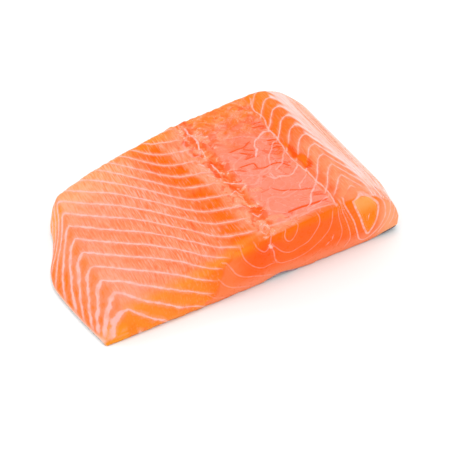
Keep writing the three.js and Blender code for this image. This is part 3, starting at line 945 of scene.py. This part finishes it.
def zones(x, y, z):
    """What the coats and marks are placed by: the share of each zone, and a few distances in mm."""
    wander = 2.5 * noise(x / 9, y / 7, 71)
    off = x - seam_x(y)
    number = segments(x, y, z)
    middle = np.sin(np.pi * number) ** 2
    flank_start = mix(PALE_START["near"], PALE_START["far"], rise(*PALE_START["y"], y))
    pale = x - flank_start - 3.5 * middle * rise(4, 10, y) + 1.2 * noise(x / 1.5, y / 9, 72)
    rich = x - through(RICH_PLACE, y) + 0.8 * noise(x / 2, y / 2, 73)
    share = bevel_share(x, y)
    return SimpleNamespace(
        x=x,
        y=y,
        z=z,
        number=number,
        wander=wander,
        off=off,
        pale=pale,
        share=share,
        depth=body(x, y) - z,
        belly=1 - rise(*BELLY_END, x + wander),
        bevel=1 - rise(*BEVEL_END, share),
        oily=rise(-26, -3, rich) ** 1.4 * (1 - rise(3.5, 6.5, rich)) * mix(0.25, 1, rise(0.05, 0.4, middle)),
        band=torn(x, y),
        inner=rise(*BAND_MIDDLE, x + wander),
        bed=rise(*BED_START, x + wander * 0.6) * (1 - rise(*BED_END, off)),
        loin=rise(*LOIN_START, off),
        flank=rise(*FLANK_BLEND, pale),
        cut=cut_share(x, y, z),
        opening=slit(x, y),
    )


def coat_belly(paint, zone):
    """Belly side: blushes, the oily strip beside the midline, the sloping edge and the golden shoulders."""
    x, y, z, belly, bevel = zone.x, zone.y, zone.z, zone.belly, zone.bevel
    paint.coat("blush", 0.5 + 0.7 * rough(x / 16, y / 9, 77, 2))
    paint.coat("rich", zone.oily * (0.95 + 0.25 * noise(x / 6, y / 4, 76)))
    paint.coat("strip", zone.band * (1 - zone.inner) * belly * 0.8)
    shoulder = rise(1.2, 7, zone.depth) * (1 - rise(0.95, 1.25, 2 - zone.share)) * (1 - rise(14, 20, y))
    paint.coat("shoulder", shoulder * 0.9 * belly)
    paint.coat("bevel", bevel)
    paint.coat("bevel_low", bevel * (1 - rise(9, 14, z + noise(x / 4, y / 5, 78))))
    paint.coat("shoulder", (1 - rise(4, 9, y)) * (1 - rise(16, 40, x)) * (1 - rise(8, 14, z)))
    paint.coat("shoulder", bevel * rise(76, 82, y) * (1 - rise(10, 16, x)))
    flat = belly * (1 - bevel)
    away = far_distance(x, y) + 4 * noise(x / 12, y / 8, 88)
    paint.coat("belly_far", flat * (1 - rise(6, 34, away)) * (1 - rise(46, 66, x)) * 0.85)
    paint.coat("shoulder", flat * (1 - rise(3, 14, away)) * mix(0.2, 0.9, bell((x - 74) / 18)))
    near = 1 - rise(2.5, 8, y + noise(x / 3, y / 3, 89))
    paint.coat("shoulder", near * rise(54, 62, x) * (1 - rise(80, 90, x)) * 0.7)


def coat_bed(paint, zone):
    """Torn band and backbone bed, which turns orange and lumpy towards the far cut and beside the seam."""
    x, y, bed = zone.x, zone.y, zone.bed
    paint.coat("band", zone.band * zone.inner * (0.8 + 0.2 * noise(x / 3, y / 3, 74)))
    paint.coat("bed", bed)
    beside = 0.8 * rise(-9, -2, zone.off) * rise(30, 45, y)
    orange = np.maximum(rise(60, 88, y + 5 * noise(x / 8, y / 8, 79)), beside)
    paint.coat("band", bed * orange * (0.6 + 0.4 * noise(x / 2.5, y / 2.5, 80)))
    paint.coat("rim", bed * orange * rise(0, 0.5, noise(x / 4.5, y / 2.6, 90)) * 0.75)
    paint.coat("strip", bed * rise(64, 84, y) * rise(0.1, 0.6, noise(x / 4, y / 3.4, 92)) * 0.6)


def coat_loin(paint, zone):
    """Loin, its far part and crest, and the pale flank, partly painted highlight, and back beyond them."""
    x, y, loin = zone.x, zone.y, zone.loin
    paint.coat("loin", loin)
    paint.coat("loin_far", loin * rise(48, 72, y + 4 * noise(x / 5, y / 5, 85)) * 0.9)
    away = far_distance(x, y) + 4 * noise(x / 6, y / 5, 83)
    paint.coat("shoulder", (zone.bed + loin) * (1 - rise(3, 24, away)) * 0.55)
    crest = loin * rise(136, 143, x) * (1 - rise(44, 60, y))
    paint.coat("apex", crest * (0.8 + 0.3 * noise(x / 4, y / 5, 86)))
    # Partly painted highlight: the flank is paler where the soft light shines on it.
    paint.coat("flank", zone.flank * mix(0.4, 1, rise(3, 20, y)))
    paint.coat("back", rise(*BACK_BLEND, zone.pale))


def coat_rim(paint, zone):
    """Upper edge along the near cut, paler at the bed and at the loin's crest."""
    x, y, top = zone.x, zone.y, 1 - zone.cut
    rim = (1 - rise(1.5, 4, y)) * (1 - zone.bevel) * mix(0.35, 1, rise(52, 62, x))
    paint.coat("rim", rim * (1 - rise(140, 150, x)) * 0.8)
    paint.coat("strip", bell((x - 105) / 9) * (1 - rise(3, 8, y)) * top * 0.8)
    paint.coat("apex", bell((x - 141) / 5) * (1 - rise(4, 9, y)) * top * 0.8)


def coat_torn(paint, zone):
    """Lumps and tears of the torn band and the bed, and the slit beside the seam, with painted shade in it.
    """
    x, y, z = zone.x, zone.y, zone.z
    paint.coat("strip", patches(LUMPS, x, y))
    paint.coat("deep", on_top(patches(TEARS, x, y), x, y, z))
    paint.coat("slit", zone.opening)
    # Painted shade: darker colour in the slit's deepest crease.
    paint.coat("slit_low", zone.opening * rise(0.1, 0.8, drawn(SLIT_SHADE_PLACES, x, y)))


def coat_cut(paint, zone):
    """Cut faces: reddest in the middle, paler at the foot and at both sides, golden in the loin's core."""
    x, z, cut, depth = zone.x, zone.z, zone.cut, zone.depth
    paint.coat("cut_top", cut)
    paint.coat("cut", cut * rise(3, 9, depth + 1.5 * noise(x / 6, z / 6, 84)))
    paint.coat("deep", cut * bell((x - 90) / 8) * bell((z - 23) / 9) * 0.8)
    paint.coat("cut_low", cut * (1 - rise(4, 13, z)))
    paint.coat("cut_left", cut * (1 - rise(68, 82, x)) * 0.8)
    below = 1 - rise(2, 6, depth + noise(x / 4, z / 4, 87))
    paint.coat("shoulder", cut * (1 - rise(78, 88, x)) * below * 0.7)
    paint.coat("core", cut * bell((x - 152) / 13) * rise(6, 22, z) * 0.5)
    paint.coat("apex", cut * rise(156, 163, x) * 0.7)
    paint.coat("belly_far", cut * rise(160, 168, x) * 0.45)
    ring = 1 - rise(-1, 0.6, np.abs(x - through(CORE_MIDDLE, z)) - through(CORE_HALF, z))
    paint.coat("core", cut * ring)
    paint.coat("core_top", cut * ring * rise(20, 33, z))


def coat_fat(paint, zone):
    """Pale fat along the foot of the belly's sloping edge."""
    paint.coat("fat", zone.bevel * (1 - rise(2, 3.4, zone.z)) * rise(0.3, 2, zone.y))


def flesh_colour(zone, palette):
    """Light colour of the flesh at each place, coat by coat."""
    paint = Paint(palette, "belly", len(zone.x))
    for coat in (coat_belly, coat_bed, coat_loin, coat_rim, coat_torn, coat_cut, coat_fat):
        coat(paint, zone)
    return paint.colour


def flesh_marks(zone):
    """Strengths, and one half width in mm, of the marks that the flesh's material draws, place by place."""
    x, y, z, belly, bevel, bed, loin = zone.x, zone.y, zone.z, zone.belly, zone.bevel, zone.bed, zone.loin
    flank, top = zone.flank, 1 - zone.cut
    faded = 0.75 * rise(2, 8, zone.pale) * rise(3, 20, y)
    line = mix(0.9, 0.72, rise(45, 70, x)) * (1 - rise(*LINE_END, x + zone.wander)) + 0.8 * loin * (1 - faded)
    line = line * top * (1 - zone.opening) * mix(1, rise(2.2, 4.5, z), bevel)
    line = line * mix(1, rise(-0.5, 3.5, y - through(CUT_REACH, x)), rise(50, 60, x))
    half = mix(LINE_HALF["belly"], LINE_HALF["midline"], rise(20, 60, x))
    half = mix(half, through(BEVEL_HALF, zone.number), bevel)
    half = mix(half, LINE_HALF["loin"], rise(100, 130, x))
    half = mix(half, LINE_HALF["flank"], flank)
    grain = belly * (1 - bevel * 0.6) * mix(0.45, 1, bell((x - 60) / 26)) + 0.35 * loin * (1 - flank)
    grain = grain * mix(0.25, 1, rise(2, 14, y))
    ragged = zone.band * rise(85, 90, x) + 0.5 * bed * rise(66, 86, y)
    outer = 0.2 * flank + 0.7 * rise(5, 10, zone.pale) * (1 - 0.6 * rise(14, 22, zone.pale))
    return {
        "partition": np.clip(line, 0, 1),
        "half_width": half,
        "grain": np.clip(grain * top * (1 - 0.4 * zone.oily), 0, 1),
        # Where the flank's partitions and pale streaks take the sheen colour, partly painted highlight.
        "streak": flank * top,
        "outer": outer * top,
        "mottle": on_top(bed * top, x, y, z),
        "ragged": on_top(np.clip(ragged, 0, 1) * top, x, y, z),
        "lean": np.clip((belly + loin) * (1 - bevel) * top * (1 - flank), 0, 1),
    }


# ---- Materials ----

class Nodes:
    """A material's node tree, with one short method for each kind of node that the finishes use."""

    def __init__(self, name):
        self.material = bpy.data.materials.new(name)
        self.material.use_nodes = True
        self.tree = self.material.node_tree
        self.shader = self.tree.nodes["Principled BSDF"]

    def put(self, socket, value):
        """Links value to the socket if it is an output, and sets it otherwise."""
        if isinstance(value, bpy.types.NodeSocket):
            self.tree.links.new(value, socket)
        else:
            socket.default_value = value

    def attribute(self, name, output="Fac"):
        """Output of a stored vertex value."""
        node = self.tree.nodes.new("ShaderNodeAttribute")
        node.attribute_name = name
        return node.outputs[output]

    def places(self):
        """Object coordinates in millimetres."""
        node = self.tree.nodes.new("ShaderNodeTexCoord")
        scale = self.tree.nodes.new("ShaderNodeVectorMath")
        scale.operation = "SCALE"
        scale.inputs["Scale"].default_value = 1 / MM
        self.put(scale.inputs[0], node.outputs["Object"])
        return scale.outputs[0]

    def mapped(self, vector, turn, sizes):
        """vector turned about z by degrees and then divided by the three sizes."""
        node = self.tree.nodes.new("ShaderNodeMapping")
        node.vector_type = "POINT"
        self.put(node.inputs["Vector"], vector)
        node.inputs["Rotation"].default_value = (0, 0, math.radians(turn))
        out = self.tree.nodes.new("ShaderNodeVectorMath")
        out.operation = "MULTIPLY"
        self.put(out.inputs[0], node.outputs[0])
        out.inputs[1].default_value = [1 / size for size in sizes]
        return out.outputs[0]

    def noise(self, vector, scale=1.0, detail=2.0, roughness=0.5, distortion=0.0):
        """Noise from 0 to 1 with hills one over scale wide."""
        node = self.tree.nodes.new("ShaderNodeTexNoise")
        self.put(node.inputs["Vector"], vector)
        node.inputs["Scale"].default_value = scale
        node.inputs["Detail"].default_value = detail
        node.inputs["Roughness"].default_value = roughness
        node.inputs["Distortion"].default_value = distortion
        return node.outputs["Fac"]

    def cells(self, vector):
        """Distance from the nearest middle of Voronoi cells one unit wide."""
        node = self.tree.nodes.new("ShaderNodeTexVoronoi")
        self.put(node.inputs["Vector"], vector)
        node.inputs["Scale"].default_value = 1
        return node.outputs["Distance"]

    def math(self, operation, a, b=0.0):
        """One sum on two numbers."""
        node = self.tree.nodes.new("ShaderNodeMath")
        node.operation = operation
        self.put(node.inputs[0], a)
        self.put(node.inputs[1], b)
        return node.outputs[0]

    def centred(self, value):
        """value less a half."""
        return self.math("SUBTRACT", value, 0.5)

    def folded(self, value):
        """How far value is from a half, on either side."""
        return self.math("ABSOLUTE", self.centred(value))

    def plus(self, base, value, factor):
        """base plus value times factor."""
        node = self.tree.nodes.new("ShaderNodeMath")
        node.operation = "MULTIPLY_ADD"
        for socket, given in zip(node.inputs, (value, factor, base)):
            self.put(socket, given)
        return node.outputs[0]

    def times(self, *values):
        """Product of all the values."""
        total = values[0]
        for value in values[1:]:
            total = self.math("MULTIPLY", total, value)
        return total

    def remap(self, value, low, high, start=0.0, end=1.0):
        """Smooth step from start to end as value goes from low to high."""
        node = self.tree.nodes.new("ShaderNodeMapRange")
        node.interpolation_type = "SMOOTHSTEP"
        given = {"Value": value, "From Min": low, "From Max": high, "To Min": start, "To Max": end}
        for name, number in given.items():
            self.put(node.inputs[name], number)
        return node.outputs[0]

    def blend(self, a, b, share, kind="MIX"):
        """Colour a with b over it, by share."""
        node = self.tree.nodes.new("ShaderNodeMix")
        node.data_type = "RGBA"
        node.blend_type = kind
        self.put(node.inputs["Factor"], share)
        self.put(node.inputs[6], a)
        self.put(node.inputs[7], b)
        return node.outputs[2]

    def tinted(self, colour, tint, share):
        """colour with a tint multiplied in, by share."""
        return self.blend(colour, (*TINTS[tint], 1), share, "MULTIPLY")

    def bump(self, height, distance, strength):
        """Normal of a height from 0 to 1 that stands for this distance in metres."""
        node = self.tree.nodes.new("ShaderNodeBump")
        self.put(node.inputs["Height"], height)
        node.inputs["Distance"].default_value = distance
        node.inputs["Strength"].default_value = strength
        return node.outputs[0]

    def finish(self, **sockets):
        """Sets or links the shader's sockets, named with underscores for spaces."""
        for name, value in sockets.items():
            self.put(self.shader.inputs[name.replace("_", " ")], value)
        return self.material


def rgba(colour):
    """Light colour with alpha, for a socket."""
    return (*linear(colour), 1.0)


def partition_number(nodes, places, bristle):
    """Stored partition number, with a slow sway, a ripple and the fibres' ends added."""
    sway = nodes.centred(nodes.noise(places, 0.16, 1))
    ripple = nodes.centred(nodes.noise(places, 0.6))
    number = nodes.plus(nodes.attribute("segment"), sway, 0.14)
    return nodes.plus(nodes.plus(number, ripple, 0.05), nodes.centred(bristle), 0.07)


def partition_shares(nodes, places, number):
    """Shares of the partitions and of the pale halo beside them.

    The distance from a partition is how far the number is from a whole one, times the spacing in mm. The
    line is full to half its uneven half width, and worn thin in places.
    """
    off = nodes.folded(nodes.math("FRACT", nodes.math("ADD", number, 0.5)))
    distance = nodes.times(off, nodes.attribute("spacing"))
    uneven = nodes.remap(nodes.noise(places, 0.3), 0.3, 0.7, 0.6, 1.35)
    half = nodes.times(nodes.attribute("half_width"), uneven)
    partition = nodes.attribute("partition")
    worn = nodes.remap(nodes.noise(places, 0.22), 0.36, 0.56, 0.6, 1.0)
    line = nodes.remap(distance, nodes.times(half, 0.5), nodes.times(half, 1.45), 1.0, 0.0)
    halo = nodes.remap(distance, 0.2, nodes.times(half, 5), 0.25, 0.0)
    return nodes.times(line, partition, worn), nodes.times(halo, partition)


def stroke_share(nodes, name, inner):
    """Share of a drawn stroke: full up to inner half widths from its middle, and none past 1.2 of them."""
    aside = nodes.math("ABSOLUTE", nodes.attribute(name + "_aside"))
    return nodes.times(nodes.remap(aside, inner, 1.2, 1.0, 0.0), nodes.attribute(name))


def with_fibres(nodes, places, colour, number, bristle, line_colour):
    """colour clouded, darker towards one side of each segment, and streaked by fibres and their ends."""
    cloud = nodes.remap(nodes.noise(places, 0.12, 3), 0.3, 0.7)
    colour = nodes.tinted(colour, "cloud", nodes.times(cloud, 0.4))
    side = nodes.remap(nodes.math("FRACT", number), 0.35, 1.0)
    colour = nodes.tinted(colour, "side", nodes.times(side, nodes.attribute("lean"), 0.75))
    grain = nodes.attribute("grain")
    fibre = nodes.noise(nodes.mapped(places, FIBRE_TURN, (1.5, 8, 3)), distortion=0.5)
    patch = nodes.remap(nodes.noise(places, 0.07), 0.4, 0.62, 0.35, 1.0)
    colour = nodes.tinted(colour, "fibre", nodes.times(nodes.remap(fibre, 0.54, 0.7), grain, patch, 0.8))
    colour = nodes.tinted(colour, "bristle", nodes.times(nodes.remap(bristle, 0.48, 0.62), grain, 0.8))
    return nodes.blend(colour, line_colour, nodes.times(nodes.remap(bristle, 0.44, 0.3), grain, 0.4))


def with_bed_marks(nodes, places, colour, line_colour):
    """colour with the bed's pink mottle, slanting creases and thin pale veins."""
    bed = nodes.attribute("mottle")
    pink = nodes.remap(nodes.noise(places, 0.28, 3, 0.6, 0.6), 0.45, 0.62)
    colour = nodes.tinted(colour, "pink", nodes.times(pink, bed, 0.5))
    creases = nodes.folded(nodes.noise(nodes.mapped(places, CREASE_TURN, (13, 5, 8)), distortion=0.5))
    some = nodes.remap(nodes.noise(places, 0.1, 1), 0.5, 0.62)
    crease = nodes.times(nodes.remap(creases, 0.022, 0.004), some, bed, 0.8)
    colour = nodes.tinted(colour, "crease", crease)
    veins = nodes.folded(nodes.noise(places, 0.11, 3, 0.55, 0.8))
    return nodes.blend(colour, line_colour, nodes.times(nodes.remap(veins, 0.016, 0.003), bed, 0.22))


def with_torn_marks(nodes, places, colour, settings):
    """colour with the torn band's dark and pale crumbs, thin pale membranes with painted glints, and the
    cracks.
    """
    ragged = nodes.attribute("ragged")
    crumbs = nodes.noise(nodes.mapped(places, 0, (4.4, 5, 5)), 1.0, 2, 0.45, 0.7)
    deep = rgba(settings.deep)
    colour = nodes.blend(colour, deep, nodes.times(nodes.remap(crumbs, 0.54, 0.64), ragged, 0.65))
    strip = nodes.times(nodes.remap(crumbs, 0.48, 0.38), ragged, 0.75)
    colour = nodes.blend(colour, rgba(settings.strip), strip)
    colour = nodes.blend(colour, deep, stroke_share(nodes, "crack", 0.3))
    # Thin pale lines: partly membranes, partly painted glints on the wet torn flesh.
    thread_glints = nodes.folded(nodes.noise(places, 0.3, distortion=1.0))
    thread_glints = nodes.times(nodes.remap(thread_glints, 0.03, 0.008), nodes.remap(crumbs, 0.5, 0.42))
    return nodes.blend(colour, rgba(settings.sheets_and_sheen), nodes.times(thread_glints, ragged, 0.5))


def flesh_material(settings):
    """Wet raw flesh: zone colours, pale partitions, darker fibres, a soft glow and a wet surface."""
    nodes = Nodes("flesh_wet")
    places = nodes.places()
    bristle = nodes.noise(nodes.mapped(places, FIBRE_TURN, (0.75, 6, 2)), detail=1)
    streak = nodes.noise(nodes.mapped(places, STREAK_TURN, (1.1, 34, 1.1)), roughness=0.6)
    number = partition_number(nodes, places, bristle)
    line, halo = partition_shares(nodes, places, number)
    patchy = nodes.remap(nodes.noise(places, 0.45), 0.32, 0.6, 0.5, 1.0)
    stroke = nodes.times(stroke_share(nodes, "stroke", 0.36), patchy)
    flank = nodes.attribute("streak")
    line_colour = rgba(settings.line_colour)
    # On the flank the partitions take this colour, partly white sheets and partly painted highlight.
    sheets_and_sheen = nodes.blend(line_colour, rgba(settings.sheets_and_sheen), flank)

    colour = nodes.attribute("tint", "Color")
    colour = with_fibres(nodes, places, colour, number, bristle, line_colour)
    # Pale streaks on the flank: partly whitish sheets, partly painted highlight along the wet flank.
    colour = nodes.blend(colour, sheets_and_sheen, nodes.times(nodes.remap(streak, 0.5, 0.36), flank, 0.7))
    colour = with_bed_marks(nodes, places, colour, line_colour)
    colour = with_torn_marks(nodes, places, colour, settings)
    colour = nodes.blend(colour, sheets_and_sheen, halo)
    colour = nodes.blend(colour, sheets_and_sheen, line)
    colour = nodes.blend(colour, line_colour, stroke)
    dark = nodes.times(nodes.remap(streak, 0.52, 0.62), nodes.attribute("outer"))
    colour = nodes.tinted(colour, "outer", dark)
    colour = nodes.blend(colour, nodes.attribute("damping", "Color"), 1.0, "MULTIPLY")

    height = nodes.plus(nodes.times(nodes.noise(places, 1.1), 0.5), bristle, 0.5)
    wet = nodes.remap(nodes.noise(places, 0.5), 0.3, 0.7, 0.25, 0.42)
    return nodes.finish(
        Base_Color=colour, Roughness=wet, Normal=nodes.bump(height, 0.0002, 0.6), IOR=1.4,
        Subsurface_Weight=0.3, Subsurface_Radius=(1.0, 0.35, 0.16), Subsurface_Scale=0.004,
        Specular_IOR_Level=0.1,
    )


def skin_material():
    """Wet fish skin: silver at the belly, grey along the side and dark at the back, in small scales."""
    nodes = Nodes("skin_wet")
    places = nodes.places()
    scales = nodes.cells(nodes.mapped(places, 0, (2.6, 2, 1)))
    colour = nodes.attribute("tint", "Color")
    colour = nodes.tinted(colour, "scale", nodes.remap(scales, 0.35, 0.75, 0.0, 0.8))
    colour = nodes.tinted(colour, "spot", nodes.remap(nodes.noise(places, 0.35, 3), 0.55, 0.7, 0.0, 0.4))
    wet = nodes.remap(nodes.noise(places, 0.8), 0.3, 0.7, 0.2, 0.4)
    return nodes.finish(
        Base_Color=colour, Roughness=wet, Normal=nodes.bump(scales, 0.0004, 0.8), IOR=1.4,
        Specular_IOR_Level=0.3, Coat_Weight=0.15, Coat_Roughness=0.2,
    )


def plain_material(name, colour, roughness):
    """A matt even surface for the stage."""
    nodes = Nodes(name)
    return nodes.finish(Base_Color=rgba(colour), Roughness=roughness)


# ---- Settings ----

def colour_property(name, description, code):
    """A screen colour with a hexadecimal default."""
    return FloatVectorProperty(
        name=name, description=description, default=shade(code), subtype="COLOR_GAMMA", size=3, min=0, max=1,
    )


class FilletFleshSettings(bpy.types.PropertyGroup):
    """Sizes and colours of the flesh."""

    relief: FloatProperty(
        name="Relief", description="How deep the furrow, flakes and cracks are", default=1, min=0, max=1.5,
        subtype="FACTOR",
    )
    belly: colour_property("Belly", "Flesh between the partitions on the belly side", 0xFC9A6C)
    blush: colour_property("Blush", "Paler patches of the belly side", 0xFCAA86)
    belly_far: colour_property("Belly, far part", "Pale golden belly towards the far cut", 0xFCC08E)
    rich: colour_property("Rich", "Oilier flesh beside the midline", 0xFC7608)
    strip: colour_property("Strip", "Pale lumps along the midline", 0xFCA880)
    shoulder: colour_property("Shoulder", "Golden flesh at the shoulder and along the rims", 0xFC9E2C)
    bevel: colour_property("Belly edge", "Upper part of the belly's sloping edge", 0xFC8E4C)
    bevel_low: colour_property("Belly foot", "Lower part of the belly's sloping edge", 0xFC8010)
    band: colour_property("Midline", "Ragged band along the midline", 0xFC7434)
    bed: colour_property("Backbone bed", "Smooth hollow where the backbone lay", 0xFC967C)
    loin: colour_property("Loin", "Loin beside the seam", 0xFC8450)
    loin_far: colour_property("Loin, far part", "Loin towards the far cut", 0xFC7C10)
    apex: colour_property("Loin crest", "Loin along its crest", 0xFCA070)
    # The flank's paleness is partly its own colour and partly painted highlight, the soft light's sheen on
    # its rounded side.
    flank: colour_property("Flank", "Pale rounded back", 0xFCD2C8)
    back: colour_property("Back", "Out on the back, towards the skin", 0xFCB08A)
    # Partly the flank's whitish sheets and partly painted highlight, the soft light's sheen on the wet flank;
    # also the painted glints of the torn band.
    sheets_and_sheen: colour_property("Sheen", "Whitish sheets and streaks on the flank", 0xFCE8E4)
    rim: colour_property("Rim", "Upper edge along the near cut", 0xFC7C20)
    # Also the colour of the painted shadow along the slit's crease, drawn with the cracks.
    deep: colour_property("Deep", "Cracks and torn places", 0xFC5A10)
    slit: colour_property("Slit", "Inside of the slit beside the seam", 0xFC7008)
    # Painted shade in the slit's crease, darker where it is deepest.
    slit_low: colour_property("Slit, deep part", "Deepest part of that slit", 0xFA5600)
    cut_top: colour_property("Cut top", "Near cut face below its upper edge", 0xFC7600)
    cut: colour_property("Cut", "Middle of the near cut face", 0xFC6C22)
    cut_low: colour_property("Cut foot", "Foot of the near cut face", 0xFC8E60)
    cut_left: colour_property("Cut side", "Belly side of the near cut face", 0xFC8A50)
    core: colour_property("Core", "Middle of the loin on the near cut", 0xFF8A0C)
    core_top: colour_property("Core top", "Upper part of that middle", 0xFFAC58)
    fat: colour_property("Fat", "Pale fat along the belly's lower edge", 0xFCD0C0)
    line_colour: colour_property("Partitions", "White sheets between the muscle segments", 0xFCCAC0)


class FilletSkinSettings(bpy.types.PropertyGroup):
    """Sizes and colours of the skin."""

    thickness: FloatProperty(
        name="Thickness", description="Thickness of the skin in millimetres", default=SKIN, min=0, soft_max=5,
    )
    belly: colour_property("Belly", "Skin under the belly", 0xD8D8D4)
    side: colour_property("Side", "Skin along the side", 0xB4949A)
    back: colour_property("Back", "Skin of the back", 0x442A40)


class FilletStageSettings(bpy.types.PropertyGroup):
    """Light, floor and camera."""

    floor: colour_property("Floor", "Pale floor", 0xE7E9E9)
    sky: FloatProperty(
        name="Sky", description="Strength of the even light from all round", default=LIGHT["sky"], min=0,
    )
    key: FloatProperty(
        name="Key", description="Power of the large lamp above the fillet", default=2.6, min=0,
        subtype="POWER", unit="POWER",
    )
    glint: FloatProperty(
        name="Glint", description="Power of the small lamp for wet lights", default=0.35, min=0,
        subtype="POWER", unit="POWER",
    )
    azimuth: FloatProperty(
        name="Azimuth", description="Camera's turn about the fillet", default=math.radians(-28.84),
        subtype="ANGLE", unit="ROTATION",
    )
    elevation: FloatProperty(
        name="Elevation", description="Camera's height above the floor", default=math.radians(43),
        subtype="ANGLE", unit="ROTATION",
    )
    distance: FloatProperty(
        name="Distance", description="From camera to target", default=0.62, min=0.1, subtype="DISTANCE",
        unit="LENGTH",
    )
    focal: FloatProperty(
        name="Focal length", description="Lens of the camera", default=89.75, min=10,
        subtype="DISTANCE_CAMERA",
    )


# ---- Operators ----

class FILLET_OT_flesh(bpy.types.Operator):
    """Builds the flesh in place of its solid"""

    bl_idname = "fillet.flesh"
    bl_label = "Flesh"

    def execute(self, context):
        settings = context.scene.fillet_flesh
        surface = flesh_surface(settings.relief)
        piece = new_piece("flesh_body", surface)
        x, y, z = surface[0].T
        palette = {name: tuple(getattr(settings, name)) for name in settings_of(settings) if name != "relief"}
        normals = normals_of(piece.data)
        zone = zones(x, y, z)
        stroke, stroke_aside = lines(x, y, z)
        crack, crack_aside = visible(CRACKS, x, y, on_top(1, x, y, z))
        hollow = np.maximum(zone.band, zone.opening) * rise(*SIDE_START, upper(x, y) - z)
        layers = {
            "segment": zone.number,
            "spacing": spacing(x, y, z, normals),
            "stroke": stroke,
            "stroke_aside": stroke_aside,
            "crack": crack,
            "crack_aside": crack_aside,
            "damping": damping(normals, hollow * rise(0.3, 0.8, normals[:, 2])),
            "tint": flesh_colour(zone, palette),
            **flesh_marks(zone),
        }
        for name, values in layers.items():
            keep(piece.data, name, values)
        piece.data.materials.append(flesh_material(settings))
        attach(piece, "root")
        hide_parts("flesh")
        return {"FINISHED"}


class FILLET_OT_skin(bpy.types.Operator):
    """Builds the skin in place of its solid"""

    bl_idname = "fillet.skin"
    bl_label = "Skin"

    def execute(self, context):
        settings = context.scene.fillet_skin
        surface = skin_surface(settings.thickness)
        piece = new_piece("skin_body", surface)
        x, y, _ = surface[0].T
        belly, side, back = (linear(tuple(getattr(settings, name))) for name in ("belly", "side", "back"))
        wander = 5 * noise(x / 14, y / 12, 81)
        colour = mix(belly, side, rise(*SKIN_SIDE, x + wander)[:, None])
        colour = mix(colour, back, rise(*SKIN_BACK, x + wander)[:, None])
        keep(piece.data, "tint", colour)
        piece.data.materials.append(skin_material())
        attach(piece, "root")
        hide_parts("skin")
        return {"FINISHED"}


class FILLET_OT_stage(bpy.types.Operator):
    """Builds the pale floor, the soft light and the camera"""

    bl_idname = "fillet.stage"
    bl_label = "Stage"

    def execute(self, context):
        settings = context.scene.fillet_stage
        scene = context.scene
        scene.view_settings.view_transform = "Standard"
        scene.world = soft_sky(settings.sky)
        add_floor(tuple(settings.floor))
        add_lamp("overhead", KEY_SIZE, settings.key, LAMP_PLACE)
        add_lamp("glint", GLINT_SIZE, settings.glint, GLINT_PLACE)
        scene.camera = add_camera(settings)
        return {"FINISHED"}


def add_floor(colour):
    """Square floor under the fillet, as part of the stage."""
    half = FLOOR_SIZE / 2
    corners = [(-half, -half, 0), (half, -half, 0), (half, half, 0), (-half, half, 0)]
    mesh = bpy.data.meshes.new("floor")
    mesh.from_pydata(corners, [], [(0, 1, 2, 3)])
    mesh.materials.append(plain_material("floor_pale", colour, FLOOR_ROUGHNESS))
    floor = bpy.data.objects.new("floor", mesh)
    bpy.context.scene.collection.objects.link(floor)


def soft_sky(strength):
    """World of even white light."""
    world = bpy.data.worlds.new("soft_sky")
    world.use_nodes = True
    background = world.node_tree.nodes["Background"]
    background.inputs["Color"].default_value = (1, 1, 1, 1)
    background.inputs["Strength"].default_value = strength
    return world


def aimed(place, target):
    """Matrix of a lamp or camera at place that looks at target, upright."""
    turn = (target - place).to_track_quat("-Z", "Y").to_matrix().to_4x4()
    return Matrix.Translation(place) @ turn


def add_lamp(name, size, power, place):
    """Round lamp of this diameter in metres, aimed at the middle of the fillet."""
    light = bpy.data.lights.new(name, "AREA")
    light.shape = "DISK"
    light.size = size
    light.energy = power
    piece = bpy.data.objects.new(name, light)
    piece.matrix_world = aimed(Vector(place), Vector(LAMP_TARGET))
    bpy.context.scene.collection.objects.link(piece)


def add_camera(settings):
    """Camera at the distance, turned by the azimuth and raised by the elevation, that looks at its target."""
    lens = bpy.data.cameras.new("camera")
    lens.lens = settings.focal
    lens.sensor_width = SENSOR
    camera = bpy.data.objects.new("camera", lens)
    target = Vector(np.array(CAMERA_TARGET) * MM + shift())
    azimuth, elevation = settings.azimuth, settings.elevation
    level = math.cos(elevation)
    back = Vector((math.sin(azimuth) * level, -math.cos(azimuth) * level, math.sin(elevation)))
    camera.matrix_world = aimed(target + back * settings.distance, target)
    bpy.context.scene.collection.objects.link(camera)
    return camera


def settings_of(group):
    """Names of a group's own settings."""
    return [name for name in group.bl_rna.properties.keys() if name not in ("rna_type", "name")]


class FILLET_PT_panel(bpy.types.Panel):
    """Sidebar panel with a button for each part"""

    bl_idname = "FILLET_PT_panel"
    bl_label = "Raw salmon fillet"
    bl_space_type = "VIEW_3D"
    bl_region_type = "UI"
    bl_category = "Fillet"

    def draw(self, context):
        for title in GROUPS:
            box = self.layout.box()
            box.operator(title.replace("_", "."))
            settings = getattr(context.scene, title)
            for name in settings_of(settings):
                box.prop(settings, name)


GROUPS = {
    "fillet_flesh": FilletFleshSettings,
    "fillet_skin": FilletSkinSettings,
    "fillet_stage": FilletStageSettings,
}
CLASSES = (*GROUPS.values(), FILLET_OT_flesh, FILLET_OT_skin, FILLET_OT_stage, FILLET_PT_panel)


def register():
    """Registers the classes and hangs the settings on the scene."""
    for kind in CLASSES:
        bpy.utils.register_class(kind)
    for name, group in GROUPS.items():
        setattr(bpy.types.Scene, name, PointerProperty(type=group))


def unregister():
    """Takes both away again."""
    for name in GROUPS:
        delattr(bpy.types.Scene, name)
    for kind in reversed(CLASSES):
        bpy.utils.unregister_class(kind)


def main():
    """Registers the add-on, then builds the stage, the flesh and the skin in order."""
    register()
    bpy.ops.fillet.stage()
    bpy.ops.fillet.flesh()
    bpy.ops.fillet.skin()


if __name__ == "__main__":
    main()
